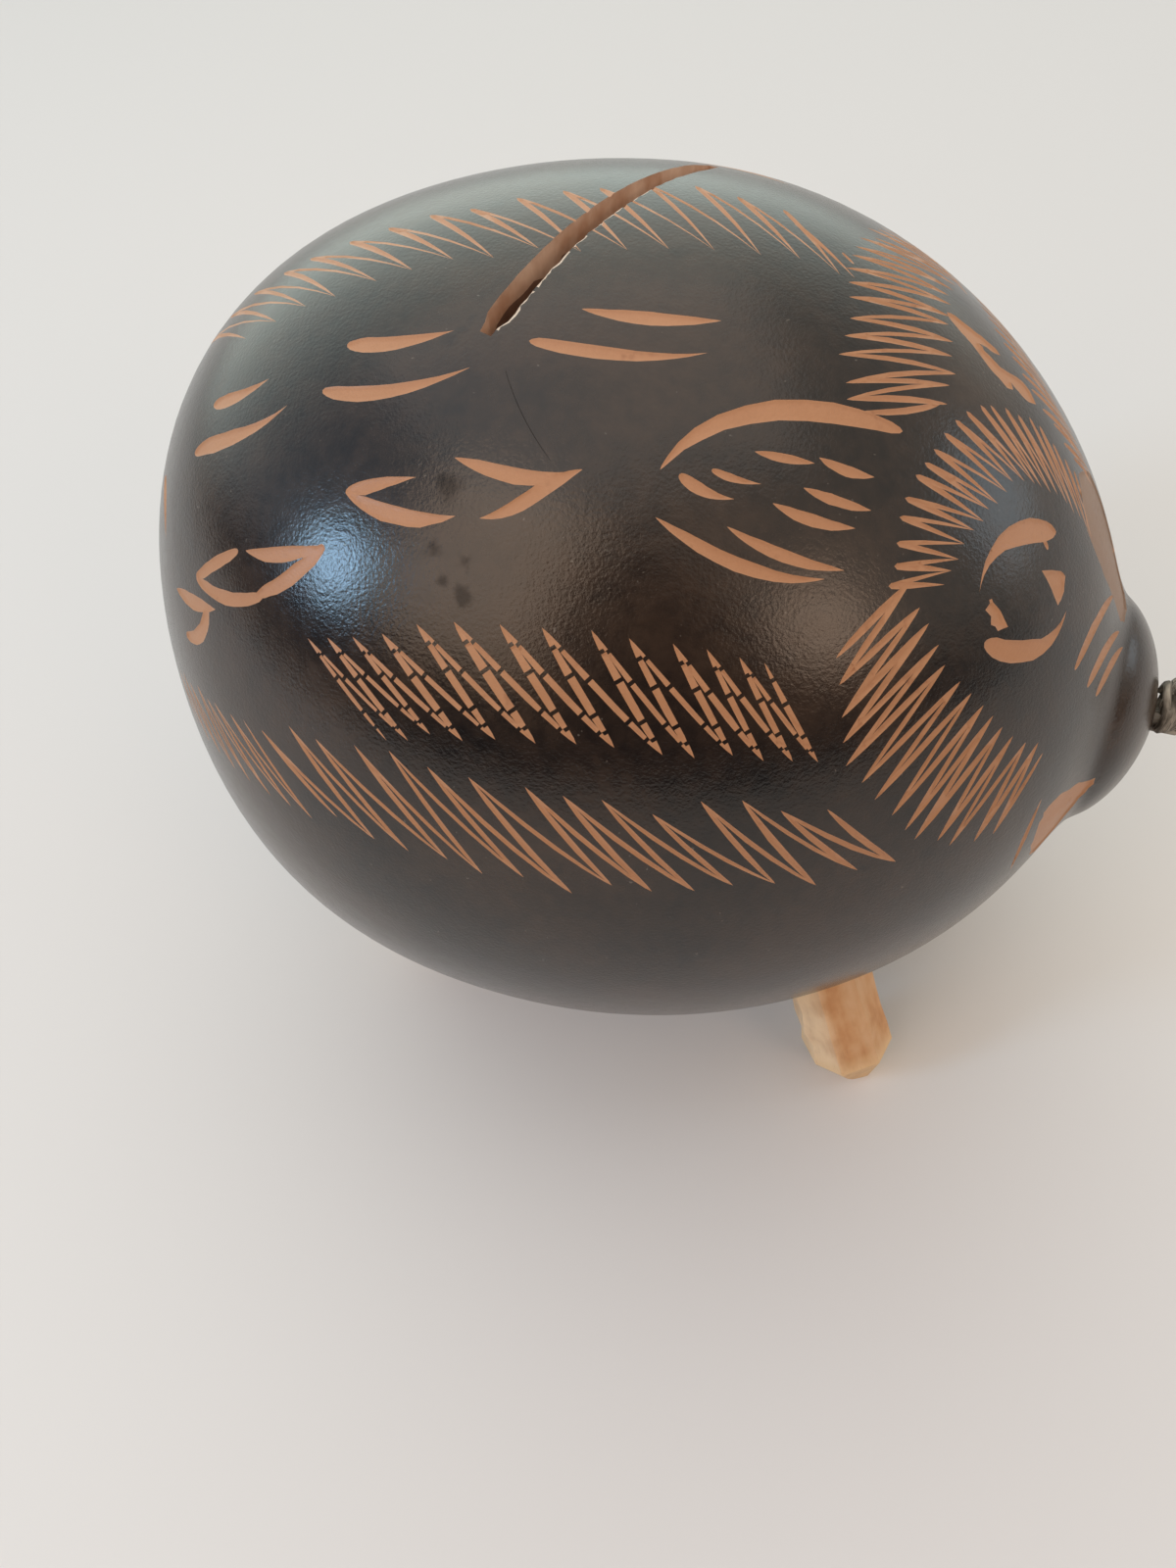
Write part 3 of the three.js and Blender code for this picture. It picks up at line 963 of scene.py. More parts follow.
    @staticmethod
    def weld_seam(places: Array, faces: Array) -> Array:
        """Faces with the places at the lower end of the chart exchanged for their twins at the seam."""
        low = np.flatnonzero(places[:, 1] < SEAM - 360 + ON_EDGE)
        high = np.flatnonzero(places[:, 1] > SEAM - ON_EDGE)
        index = np.arange(len(places))
        index[low[np.argsort(places[low, 0])]] = high[np.argsort(places[high, 0])]
        return index[faces]

    def rows(self) -> tuple[Array, float, float]:
        """Runs back of the outer rows, closer over the snout, with the first and the last."""
        face = self.form.outer
        tip = slice(0, face.STEPS // 4)
        first = float(np.interp(self.stem_radius, face.radius[tip], face.back[tip]))
        last = face.length - self.pole_gap
        bands = (*self.SNOUT_ROWS, (self.BODY_END, self.row_step))
        starts = [first, *(end for end, _ in bands)]
        parts = [np.arange(start, end, step) for start, (end, step) in zip(starts, bands)]
        parts.append(np.linspace(starts[-1], last, self.END_ROWS))
        return np.unique(np.concatenate(parts)), first, last

    def sunk(self, places: Array, middles: Array) -> tuple[Array, Array]:
        """Sinks the cuts.

        Args:
            places: places of the chart.
            middles: middles of its faces.

        Returns:
            How deep each place lies under the skin, and what each face shows.
        """
        depth = np.zeros(len(places))
        shows = np.full(len(middles), Face.SKIN)
        for cut in self.cuts:
            shows[held(cut.outline, middles)] = cut.shows
            near = held(cut.outline, places)
            if len(near):
                degree = float(self.form.outer.degree(cut.outline[:, 0].mean()))
                run = edge_distance(cut.outline, places[near], degree) / self.edge_run
                depth[near] = np.maximum(depth[near], cut.depth * np.clip(run, 0.0, 1.0))
        return depth, shows

    def build(self) -> bpy.types.Object:
        """Builds the shell.

        The chart is triangulated round every cut, the cuts are sunk by their depth along the normal,
        the openings are walled in to the inner face, and the ends are closed.

        Returns:
            The object.
        """
        outer = self.form.outer
        rows, first, last = self.rows()
        outlines = [piece.outline for piece in [*self.cuts, *self.holes]]
        grid = self.cleared(self.grid(outer, rows, self.row_step), outlines, outer, self.margin)
        floors = [self.floor_places(cut) for cut in self.cuts]
        places, faces, _ = self.triangles(np.concatenate([grid, *floors]), outlines)
        middles = places[faces].mean(1)
        depth, shows = self.sunk(places, middles)
        owner = np.full(len(faces), -1)
        for number, hole in enumerate(self.holes):
            owner[within(hole.outline, middles)] = number
        kept = owner < 0
        base, normals = outer.points(places), outer.normals(places)
        skin = Skin()
        skin.grow(base - normals * depth[:, None])
        skin.cover(self.weld_seam(places, faces)[kept], shows[kept])
        rims = [self.rim(faces[kept], faces[owner == number]) for number in range(len(self.holes))]
        self.add_inside(skin, base, rims)

        mouth = self.end_ring(places, first)
        well = skin.points[0][mouth] - self.form.axis * self.stem_depth
        floor = skin.grow(well)
        ahead, below = np.roll(mouth, -1), np.roll(floor, -1)
        for corners in ((mouth, ahead, floor), (ahead, below, floor)):
            skin.cover(np.stack(corners, -1), Face.WALL)
        skin.fan(floor, well.mean(0, keepdims=True), Face.WALL)
        rear = outer.points(np.array([[outer.length, 0.0]]))
        skin.fan(self.end_ring(places, last)[::-1], rear, Face.SKIN)
        return self.write(skin, normals)

    def add_inside(self, skin: Skin, base: Array, rims: Sequence[Array]) -> None:
        """Adds the inside: the inner face with its two ends, and the walls of the openings.

        Args:
            skin: the skin so far, which starts with the outer points.
            base: outer points before the cuts were sunk.
            rims: numbers of the outer points round each opening.
        """
        inner = self.form.inner
        loops = []
        for rim, hole in zip(rims, self.holes):
            loops.append(inner.places(inner.strike(base[rim], hole.line, self.wall_reach)))
        count = int(inner.length / self.inner_step)
        rows = np.linspace(self.inner_end, inner.length - self.inner_end, count)
        grid = self.cleared(self.grid(inner, rows, self.inner_step), loops, inner, self.inner_margin)
        places, faces, origins = self.triangles(grid, loops)
        stands = np.zeros(len(grid) + sum(map(len, loops)), int)
        for place, sources in enumerate(origins):
            stands[sources] = place
        middles = places[faces].mean(1)
        kept = ~np.any([within(loop, middles) for loop in loops], axis=0)
        start = skin.grow(inner.points(places))[0]
        skin.cover(self.weld_seam(places, faces)[kept][:, ::-1] + start, Face.INSIDE)
        begin = len(grid)
        for hole, rim, loop in zip(self.holes, rims, loops):
            inside = stands[begin : begin + len(loop)] + start
            begin += len(loop)
            share = hole.clean_depth(base[rim])[:, None]
            between = skin.grow(base[rim] * (1 - share) + inner.points(loop) * share)
            skin.strip(rim, between, Face.WALL)
            skin.strip(between, inside, Face.INSIDE)
        for row, pole, way in ((rows[0], 0.0, -1), (rows[-1], inner.length, 1)):
            ring = self.end_ring(places, row)[::way] + start
            skin.fan(ring, inner.points(np.array([[pole, 0.0]])), Face.INSIDE)

    @staticmethod
    def rim(kept: Array, removed: Array) -> Array:
        """Corners of the ring between kept and removed faces, in order, by the kept faces' own edges."""
        groups = (kept, removed)
        own, other = (np.concatenate([group[:, [k, (k + 1) % 3]] for k in range(3)]) for group in groups)
        span = max(kept.max(), removed.max()) + 1
        edges = own[np.isin(own[:, 0] * span + own[:, 1], other[:, 1] * span + other[:, 0])]
        following = dict(edges.tolist())
        ring = [int(edges[0, 0])]
        while len(ring) < len(edges):
            ring.append(following[ring[-1]])
        return np.array(ring)

    @staticmethod
    def end_ring(places: Array, back: float) -> Array:
        """Corners of the ring at one end of a chart, in the order of round, the seam once."""
        found = np.flatnonzero(np.abs(places[:, 0] - back) < ON_EDGE)
        found = found[places[found, 1] > SEAM - 360 + ON_EDGE]
        return found[np.argsort(places[found, 1])]

    def write(self, skin: Skin, normals: Array) -> bpy.types.Object:
        """Writes the skin with true normals on the dyed faces and the cuts' own softened by them.

        Args:
            skin: all points and triangles.
            normals: true normals of the first points, those of the outer chart.

        Returns:
            The object.
        """
        points, faces, shows = (np.concatenate(parts) for parts in (skin.points, skin.faces, skin.shows))
        used = np.zeros(len(points), bool)
        used[faces] = True
        renumber = np.cumsum(used) - 1
        corner = points[faces]
        flat = np.cross(corner[:, 1] - corner[:, 0], corner[:, 2] - corner[:, 0])
        true, rolled = np.zeros_like(points), np.zeros_like(points)
        cut = shows == Face.CUT
        np.add.at(rolled, faces[cut].ravel(), np.repeat(flat[cut], 3, axis=0))
        outer = slice(0, len(normals))
        true[outer] = normals
        rolled[outer] = unit(rolled[outer] + NOTHING) + normals
        loops = np.repeat(unit(flat + NOTHING)[:, None], 3, axis=1)
        for kind, source in ((Face.SKIN, true), (Face.SCRAPED, true), (Face.CUT, rolled)):
            chosen = source[faces]
            size = np.linalg.norm(chosen, axis=2, keepdims=True)
            usable = (shows == kind)[:, None, None] & (size > SLIVER)
            loops = np.where(usable, chosen / np.maximum(size, SLIVER), loops)
        piece = write_mesh("carved_shell", points[used], [renumber[faces]])
        piece.data.polygons.foreach_set("material_index", shows.astype(np.int32))
        piece.data.normals_split_custom_set(loops.reshape(-1, 3).tolist())
        return piece


# Shader expressions


class Wire:
    """A socket of a node tree, with operators that add Math nodes."""

    def __init__(self, tree: "Tree", socket: bpy.types.NodeSocket):
        self.tree = tree
        self.socket = socket

    def __add__(self, other: Any) -> "Wire":
        """Sum."""
        return self.tree.maths("ADD", self, other)

    def __sub__(self, other: Any) -> "Wire":
        """Difference."""
        return self.tree.maths("SUBTRACT", self, other)

    def __rsub__(self, other: Any) -> "Wire":
        """Difference from a number."""
        return self.tree.maths("SUBTRACT", other, self)

    def __mul__(self, other: Any) -> "Wire":
        """Product."""
        return self.tree.maths("MULTIPLY", self, other)

    __radd__ = __add__
    __rmul__ = __mul__

    def clamp(self) -> "Wire":
        """Held between 0 and 1."""
        return self.tree.node("ShaderNodeClamp", {}, {"Value": self})

    def band(self, low: float, high: float) -> "Wire":
        """Smooth step from 0 at low to 1 at high."""
        sockets = {"Value": self, "From Min": low, "From Max": high}
        return self.tree.node("ShaderNodeMapRange", {"interpolation_type": "SMOOTHSTEP"}, sockets)


class Tree:
    """A node tree to which nodes are added as expressions."""

    def __init__(self, tree: bpy.types.NodeTree):
        self.tree = tree

    def node(self, kind: str, settings: dict[str, Any], sockets: dict[Any, Any], output: Any = 0) -> Wire:
        """Adds any node.

        Args:
            kind: the node's type.
            settings: its own settings, set first.
            sockets: values or wires of its inputs, by name or number.
            output: name or number of the output that is returned.

        Returns:
            That output.
        """
        made = self.tree.nodes.new(kind)
        for key, value in settings.items():
            setattr(made, key, value)
        for key, value in sockets.items():
            self.feed(made.inputs[key], value)
        return Wire(self, made.outputs[output])

    def feed(self, socket: bpy.types.NodeSocket, value: Any) -> None:
        """Links a wire to a socket, or sets a value on it."""
        if isinstance(value, Wire):
            self.tree.links.new(value.socket, socket)
        else:
            socket.default_value = value

    def maths(self, operation: str, first: Any, second: Any) -> Wire:
        """One Math node."""
        return self.node("ShaderNodeMath", {"operation": operation}, {0: first, 1: second})

    def vector(self, operation: str, *sockets: Any, output: str = "Vector") -> Wire:
        """One Vector Math node."""
        return self.node("ShaderNodeVectorMath", {"operation": operation}, dict(enumerate(sockets)), output)

    def along(self, vector: Wire, way: Sequence[float]) -> Wire:
        """How far a vector runs along a way."""
        return self.vector("DOT_PRODUCT", vector, way, output="Value")

    def mixed(self, share: Any, *colours: Any) -> Wire:
        """Colour between two colours, each a hex text, linear levels or a wire."""
        first, second = (linear(colour) if isinstance(colour, str) else colour for colour in colours)
        return self.node("ShaderNodeMix", {"data_type": "RGBA"}, {0: share, 6: first, 7: second}, 2)


class Shader(Tree):
    """The node tree of one material."""

    ROUGH = 0.55  # how much each finer noise adds

    def __init__(self, name: str):
        self.material = bpy.data.materials.new(name)
        self.material.use_nodes = True
        super().__init__(self.material.node_tree)
        self.principled = self.tree.nodes["Principled BSDF"]

    def place(self, stretch: tuple[float, float, float] = (1, 1, 1), attribute: str = "") -> Wire:
        """Object coordinates in millimetres, or an attribute's, stretched along the axes."""
        if attribute:
            source = self.node("ShaderNodeAttribute", {"attribute_name": attribute}, {}, "Vector")
        else:
            source = self.node("ShaderNodeTexCoord", {}, {}, "Object")
        return self.vector("MULTIPLY", source, tuple(share / MM for share in stretch))

    def noise(self, place: Wire, size: float, detail: float = 3.0) -> Wire:
        """Noise with features of about a size in millimetres, near 0.5 on average."""
        sockets = {"Vector": place, "Scale": 1.0 / size, "Detail": detail, "Roughness": self.ROUGH}
        return self.node("ShaderNodeTexNoise", {}, sockets)

    def bump(self, height: Wire, depth: float, under: Wire | None = None) -> Wire:
        """Normal from a height from 0 to 1 that stands for a depth in millimetres."""
        sockets: dict[Any, Any] = {"Height": height, "Distance": depth * MM, "Strength": 1.0}
        if under is not None:
            sockets["Normal"] = under
        return self.node("ShaderNodeBump", {}, sockets)

    def finish(self, ior: float, colour: Any, rough: Any, normal: Wire | None = None) -> bpy.types.Material:
        """Feeds the surface shader.

        Args:
            ior: how strongly the surface mirrors, as an index of refraction.
            colour: wire or linear levels.
            rough: wire or one value.
            normal: wire of a bump, where there is one.

        Returns:
            The material.
        """
        feeds = {"IOR": ior, "Base Color": colour, "Roughness": rough, "Normal": normal}
        for key, value in feeds.items():
            if value is not None:
                self.feed(self.principled.inputs[key], value)
        return self.material

    def film(self, share: Wire, colour: tuple[float, ...]) -> None:
        """Lays a matt film of one colour over the surface shader, by a share."""
        gloss = Wire(self, self.principled.outputs["BSDF"])
        matt = self.node("ShaderNodeBsdfDiffuse", {}, {"Color": colour})
        both = self.node("ShaderNodeMixShader", {}, {0: share, 1: gloss, 2: matt})
        self.feed(self.tree.nodes["Material Output"].inputs["Surface"], both)


# Finishes

PLAIN_IOR = 1.45


@dataclass(frozen=True)
class DyedSkin:
    """Rubbed black-brown dye on the smooth rind, with a leathery grain and a few stains.

    Each stain has its place on the face, back and round, and its radius.
    """

    STAINS = (
        (106.6, 35.1, 1.3),
        (103.0, 45.4, 0.9),
        (107.0, 41.2, 0.5),
        (105.5, 44.3, 0.6),
        (103.6, 42.2, 0.5),
    )

    RAGGED = 3.0  # how far the flecks push the edge of a stain
    STAIN_EDGE = (2.1, 0.8)  # where a stain starts and is full, past its radius

    face: TurnedFace
    deep: str = "120e0c"
    warm: str = "3a2b20"
    pit: str = "0e0b0a"
    dust: str = "8d857c"
    cloud: float = 26.0
    fleck: float = 1.6
    spot: float = 5.0
    speck: float = 0.7
    grain: float = 0.4
    grain_depth: float = 0.036
    dent: float = 9.0
    dent_depth: float = 0.08
    stain: float = 0.42
    ior: float = 1.53

    def make(self) -> bpy.types.Material:
        """Cloudy dye, small pits, a little dust, a fine dimpled grain in the gloss, and matt stains."""
        shader = Shader("dyed_skin")
        place = shader.place()
        cloud = shader.noise(place, self.cloud, 4.0)
        fleck = shader.noise(place, self.fleck, 4.0)
        share = (cloud.band(0.32, 0.68) * 0.75 + fleck.band(0.25, 0.75) * 0.35).clamp()
        dye = shader.mixed(share, self.deep, self.warm)
        spots = shader.noise(place, self.spot).band(0.6, 0.8)
        pitted = shader.mixed(spots * 0.6, dye, self.pit)
        specks = shader.noise(place, self.speck, 1.0).band(0.76, 0.82)
        colour = shader.mixed(specks * 0.3, pitted, self.dust)
        dimples = shader.bump(shader.noise(place, self.grain, 2.0), self.grain_depth)
        normal = shader.bump(shader.noise(place, self.dent, 2.0), self.dent_depth, dimples)
        rough = 0.14 + cloud * 0.08 + fleck * 0.08
        stained: Any = 0.0
        outside, full = self.STAIN_EDGE
        for back, around, radius in self.STAINS:
            middle = tuple(self.face.points(np.array([[back, around]]))[0])
            off = shader.vector("DISTANCE", place, middle, output="Value") + fleck * self.RAGGED
            stained = stained + off.band(radius + outside, radius + full)
        shader.film((stained * self.stain).clamp(), linear(self.pit))
        return shader.finish(self.ior, colour, rough, normal)


@dataclass(frozen=True)
class BareRind:
    """Tan rind laid bare by the knife."""

    name: str = "bare_rind"
    pale: str = "be8b66"
    tan: str = "aa7651"
    smear: str = "8a5636"

    def make(self) -> bpy.types.Material:
        """Tan varied by fine knife marks, with a few smears of dye."""
        shader = Shader(self.name)
        place = shader.place()
        cloud = shader.noise(place, 5.0)
        marks = shader.noise(shader.place((1.0, 0.35, 1.6)), 0.35)
        tan = shader.mixed((cloud * 0.6 + marks * 0.5).clamp(), self.tan, self.pale)
        smears = shader.noise(place, 2.5).band(0.62, 0.8)
        colour = shader.mixed(smears * 0.6, tan, self.smear)
        return shader.finish(PLAIN_IOR, colour, 0.3 + marks * 0.25, shader.bump(marks, 0.03))


@dataclass(frozen=True)
class SawnRind:
    """The rind's brown thickness, in the slot and inside the bank, and the dark of a scratch."""

    name: str
    deep: str
    light: str

    def make(self) -> bpy.types.Material:
        """Two browns in soft clouds and faint upright fibres."""
        shader = Shader(self.name)
        fibre = shader.noise(shader.place((1.0, 1.0, 0.3)), 0.8)
        cloud = shader.noise(shader.place(), 4.0)
        share = (fibre * 0.35 + cloud.band(0.3, 0.7) * 0.6).clamp()
        colour = shader.mixed(share, self.deep, self.light)
        return shader.finish(PLAIN_IOR, colour, 0.6 + fibre * 0.2, shader.bump(fibre, 0.08))


@dataclass(frozen=True)
class RindChip:
    """Pale chipped rind along the edge of the slot."""

    light: str = "e8dccd"
    dark: str = "bda28c"

    def make(self) -> bpy.types.Material:
        """Pale broken fibres."""
        shader = Shader("rind_chip")
        grit = shader.noise(shader.place(), 0.4)
        colour = shader.mixed(grit, self.dark, self.light)
        return shader.finish(PLAIN_IOR, colour, 0.8 + grit * 0.1, shader.bump(grit, 0.1))


@dataclass(frozen=True)
class WhittledWood:
    """Pale soft wood cut with a knife, its grain along the peg."""

    # Painted light: every peg is made paler on its side toward the window lamp, given in the peg's own
    # frame
    PAINTED_LIGHT_WAY = (0.8, 0.6, 0.0)
    PAINTED_LIGHT_EDGE = (3.0, 6.2)  # how far toward that side the painted light starts and is full
    FRESH_EDGE = (13.0, 7.5)  # the heights at which the fresh cut starts and is full

    name: str = "whittled_wood"
    pale: str = "e0b68b"
    tan: str = "d0945e"
    line: str = "a86f42"
    # colour of the painted light on the side toward the window lamp
    painted_lit_side: str = "f5d6ae"
    fresh: str = "efcb9b"

    def make(self) -> bpy.types.Material:
        """Long grain lines along the peg, painted light that makes the side toward the window lamp paler, a
        fresh cut at the foot, ripples.
        """
        shader = Shader(self.name)
        long = shader.place((1.0, 1.0, 0.08), "grain")
        growth = shader.noise(long, 1.8)
        fine = shader.noise(long, 0.35)
        cloud = shader.noise(shader.place((1.0, 1.0, 0.6), "grain"), 4.5)
        share = (growth.band(0.3, 0.7) * 0.35 + cloud.band(0.3, 0.7) * 0.6).clamp()
        heart = shader.mixed(share, self.tan, self.pale)
        peg = shader.place(attribute="peg")
        # painted light: share of the paler side that faces the window lamp
        aside = (shader.along(peg, self.PAINTED_LIGHT_WAY) + cloud * 2.0).band(*self.PAINTED_LIGHT_EDGE)
        low = (shader.along(peg, UP.tolist()) + cloud * 2.0).band(*self.FRESH_EDGE)
        base = shader.mixed(low * 0.85, shader.mixed(aside * 0.9, heart, self.painted_lit_side), self.fresh)
        streak = fine.band(0.55, 0.75) * 0.16 + cloud.band(0.5, 0.25) * 0.25
        colour = shader.mixed(streak, base, self.line)
        return shader.finish(PLAIN_IOR, colour, 0.52 + fine * 0.2, shader.bump(fine + growth, 0.06))


@dataclass(frozen=True)
class DarkFibre:
    """Weathered dark plant fibre, with paler streaks."""

    dark: str = "3a342c"
    light: str = "b9b1a4"
    ior: float = 1.4

    def make(self) -> bpy.types.Material:
        """Streaked grey-brown."""
        shader = Shader("dark_fibre")
        streak = shader.noise(shader.place(attribute="grain"), 0.5)
        colour = shader.mixed(streak.band(0.35, 0.75), self.dark, self.light)
        return shader.finish(self.ior, colour, 0.75 + streak * 0.2, shader.bump(streak, 0.08))


def set_grain(piece: bpy.types.Object, places: Array, name: str = "grain") -> None:
    """Stores a piece's own texture places, given in millimetres, as an attribute."""
    attribute = piece.data.attributes.new(name, "FLOAT_VECTOR", "POINT")
    attribute.data.foreach_set("vector", (places * MM).astype(np.float32).ravel())


# Legs, stopper and knot


@dataclass
class Leg:
    """One whittled peg, bevelled to a small flat foot and let into the shell by a tenon."""

    name: str
    foot: tuple[float, float]
    run: tuple[float, float]
    seed: int
    twist: float = 8.4
    facets: int = 8
    radius: float = 7.5
    neck_radius: float = 6.7
    foot_radius: float = 3.0
    bevel: float = 7.5
    tenon_radius: float = 4.6
    tenon_proud: float = 3.0
    rows: int = 6
    hole_sides: int = 24
    rim_share: float = 0.45  # where on the bevel its middle ring lies
    off_angle: float = 0.06
    off_radius: tuple[float, float] = (-0.05, 0.04)
    dent: float = 0.22
    grain_shift: float = 40.0  # sets the grain of one leg apart from the next

    def line(self) -> Array:
        """Direction of the leg, going up."""
        return unit(np.array([*self.run, 1.0]))

    def start(self, form: GourdForm) -> Array:
        """Middle of the foot."""
        return np.array([form.ring_x + self.foot[0], self.foot[1], 0.0])

    def spokes(self, turn: Array) -> Array:
        """Unit vectors across the leg at angles round it."""
        line = self.line()
        first = unit(np.cross(line, np.array([0.0, 1.0, 0.0])))
        return spun(turn, first, np.cross(line, first))

    def hole(self, form: GourdForm) -> Hole:
        """The round hole that takes the tenon, where it opens on the skin."""
        spokes = self.spokes(circle(self.hole_sides))
        ring = self.start(form) + spokes * (self.tenon_radius + form.fit_gap)
        struck = form.outer.strike(ring, self.line(), form.reach)
        return Hole(form.outer.places(struck), self.line())

    def build(self, form: GourdForm) -> bpy.types.Object:
        """Lofts the peg: foot, bevel, knife-cut rows up to the shell, shoulder and tenon."""
        rng = np.random.default_rng(self.seed)
        start, line = self.start(form), self.line()
        even = circle(self.facets) + math.radians(self.twist)
        spokes = self.spokes(even + rng.uniform(-self.off_angle, self.off_angle, self.facets))
        uneven = (1 + rng.uniform(*self.off_radius, self.facets))[:, None]

        def across(height: float, radius: float) -> Array:
            return start + line * height + spokes * radius * uneven

        peg = self.spokes(even) * self.tenon_radius
        top = form.seat.strike(across(0.0, self.neck_radius), line, form.reach)
        shoulder = form.seat.strike(start + peg, line, form.reach)
        entry = float(((shoulder - start) @ line).mean())
        low = across(self.bevel, self.radius)
        shares = np.linspace(0.0, 1.0, self.rows)[:, None, None]
        stem = low + shares * (top - low)
        knife = rng.normal(0.0, self.dent, (self.rows, self.facets, 1))
        knife[-1] = np.minimum(knife[-1], 0.0)
        stem[:-1] += (spokes * knife)[:-1]
        level = across(0.0, self.foot_radius)
        foot = level - line * (level[:, 2:] / line[2])
        rim = across(self.rim_share * self.bevel, (self.foot_radius + self.radius) / 2)
        tenon = start + line * (entry + form.wall + self.tenon_proud) + peg
        rings = np.concatenate([foot[None], rim[None], stem, shoulder[None], tenon[None]])
        points, faces = loft(rings)
        piece = write_mesh(f"whittled_{self.name}", points, faces, smooth=False)
        own = (points - start) @ np.stack([*self.spokes(np.array([0.0, np.pi / 2])), line]).T
        set_grain(piece, own + self.grain_shift * self.seed)
        set_grain(piece, own, "peg")
        return piece


@dataclass
class Stopper:
    """The wooden plug in the belly, with a head that meets the shell."""

    radius: float = 13.0
    head_radius: float = 15.5
    head: float = 3.0
    proud: float = 4.0
    bevel: float = 1.2
    edge: float = 0.9
    foot_inset: float = 5.0
    around: int = 64
    sharp_angle: float = 35.0
    grain_middle: tuple[float, float] = (21.0, 3.0)

    def ring(self, form: GourdForm, radius: float, height: float = 0.0) -> Array:
        """A level ring under the widest part of the belly."""
        turn = circle(self.around)
        flat = np.stack([np.cos(turn), np.sin(turn), np.zeros_like(turn)], -1) * radius
        return flat + np.array([form.ring_x, 0.0, height])

    def hole(self, form: GourdForm) -> Hole:
        """The round hole in the belly."""
        ring = self.ring(form, self.radius + form.fit_gap)
        return Hole(form.outer.places(form.outer.strike(ring, UP, form.reach)), UP)

    def build(self, form: GourdForm) -> bpy.types.Object:
        """Lofts the head, hollowed to the belly, and the plug with its bevelled end."""
        belly = float(form.outer.strike(self.ring(form, 0.0)[:1], UP, form.reach)[0, 2])
        foot, top = belly - self.head, belly + form.wall + self.proud
        rings = [
            self.ring(form, self.head_radius - self.foot_inset, foot),
            self.ring(form, self.head_radius - self.edge, foot),
            self.ring(form, self.head_radius, foot + self.edge),
            form.seat.strike(self.ring(form, self.head_radius), UP, form.reach),
            form.seat.strike(self.ring(form, self.radius), UP, form.reach),
            self.ring(form, self.radius, top - self.bevel),
            self.ring(form, self.radius - self.bevel, top),
        ]
        points, faces = loft(np.stack(rings))
        piece = write_mesh("turned_stopper", points, faces)
        piece.data.set_sharp_from_angle(angle=math.radians(self.sharp_angle))
        across, aside = self.grain_middle
        own = points - np.array([form.ring_x + across, aside, 0.0])
        set_grain(piece, own[:, [1, 2, 0]])
        set_grain(piece, own, "peg")
        return piece


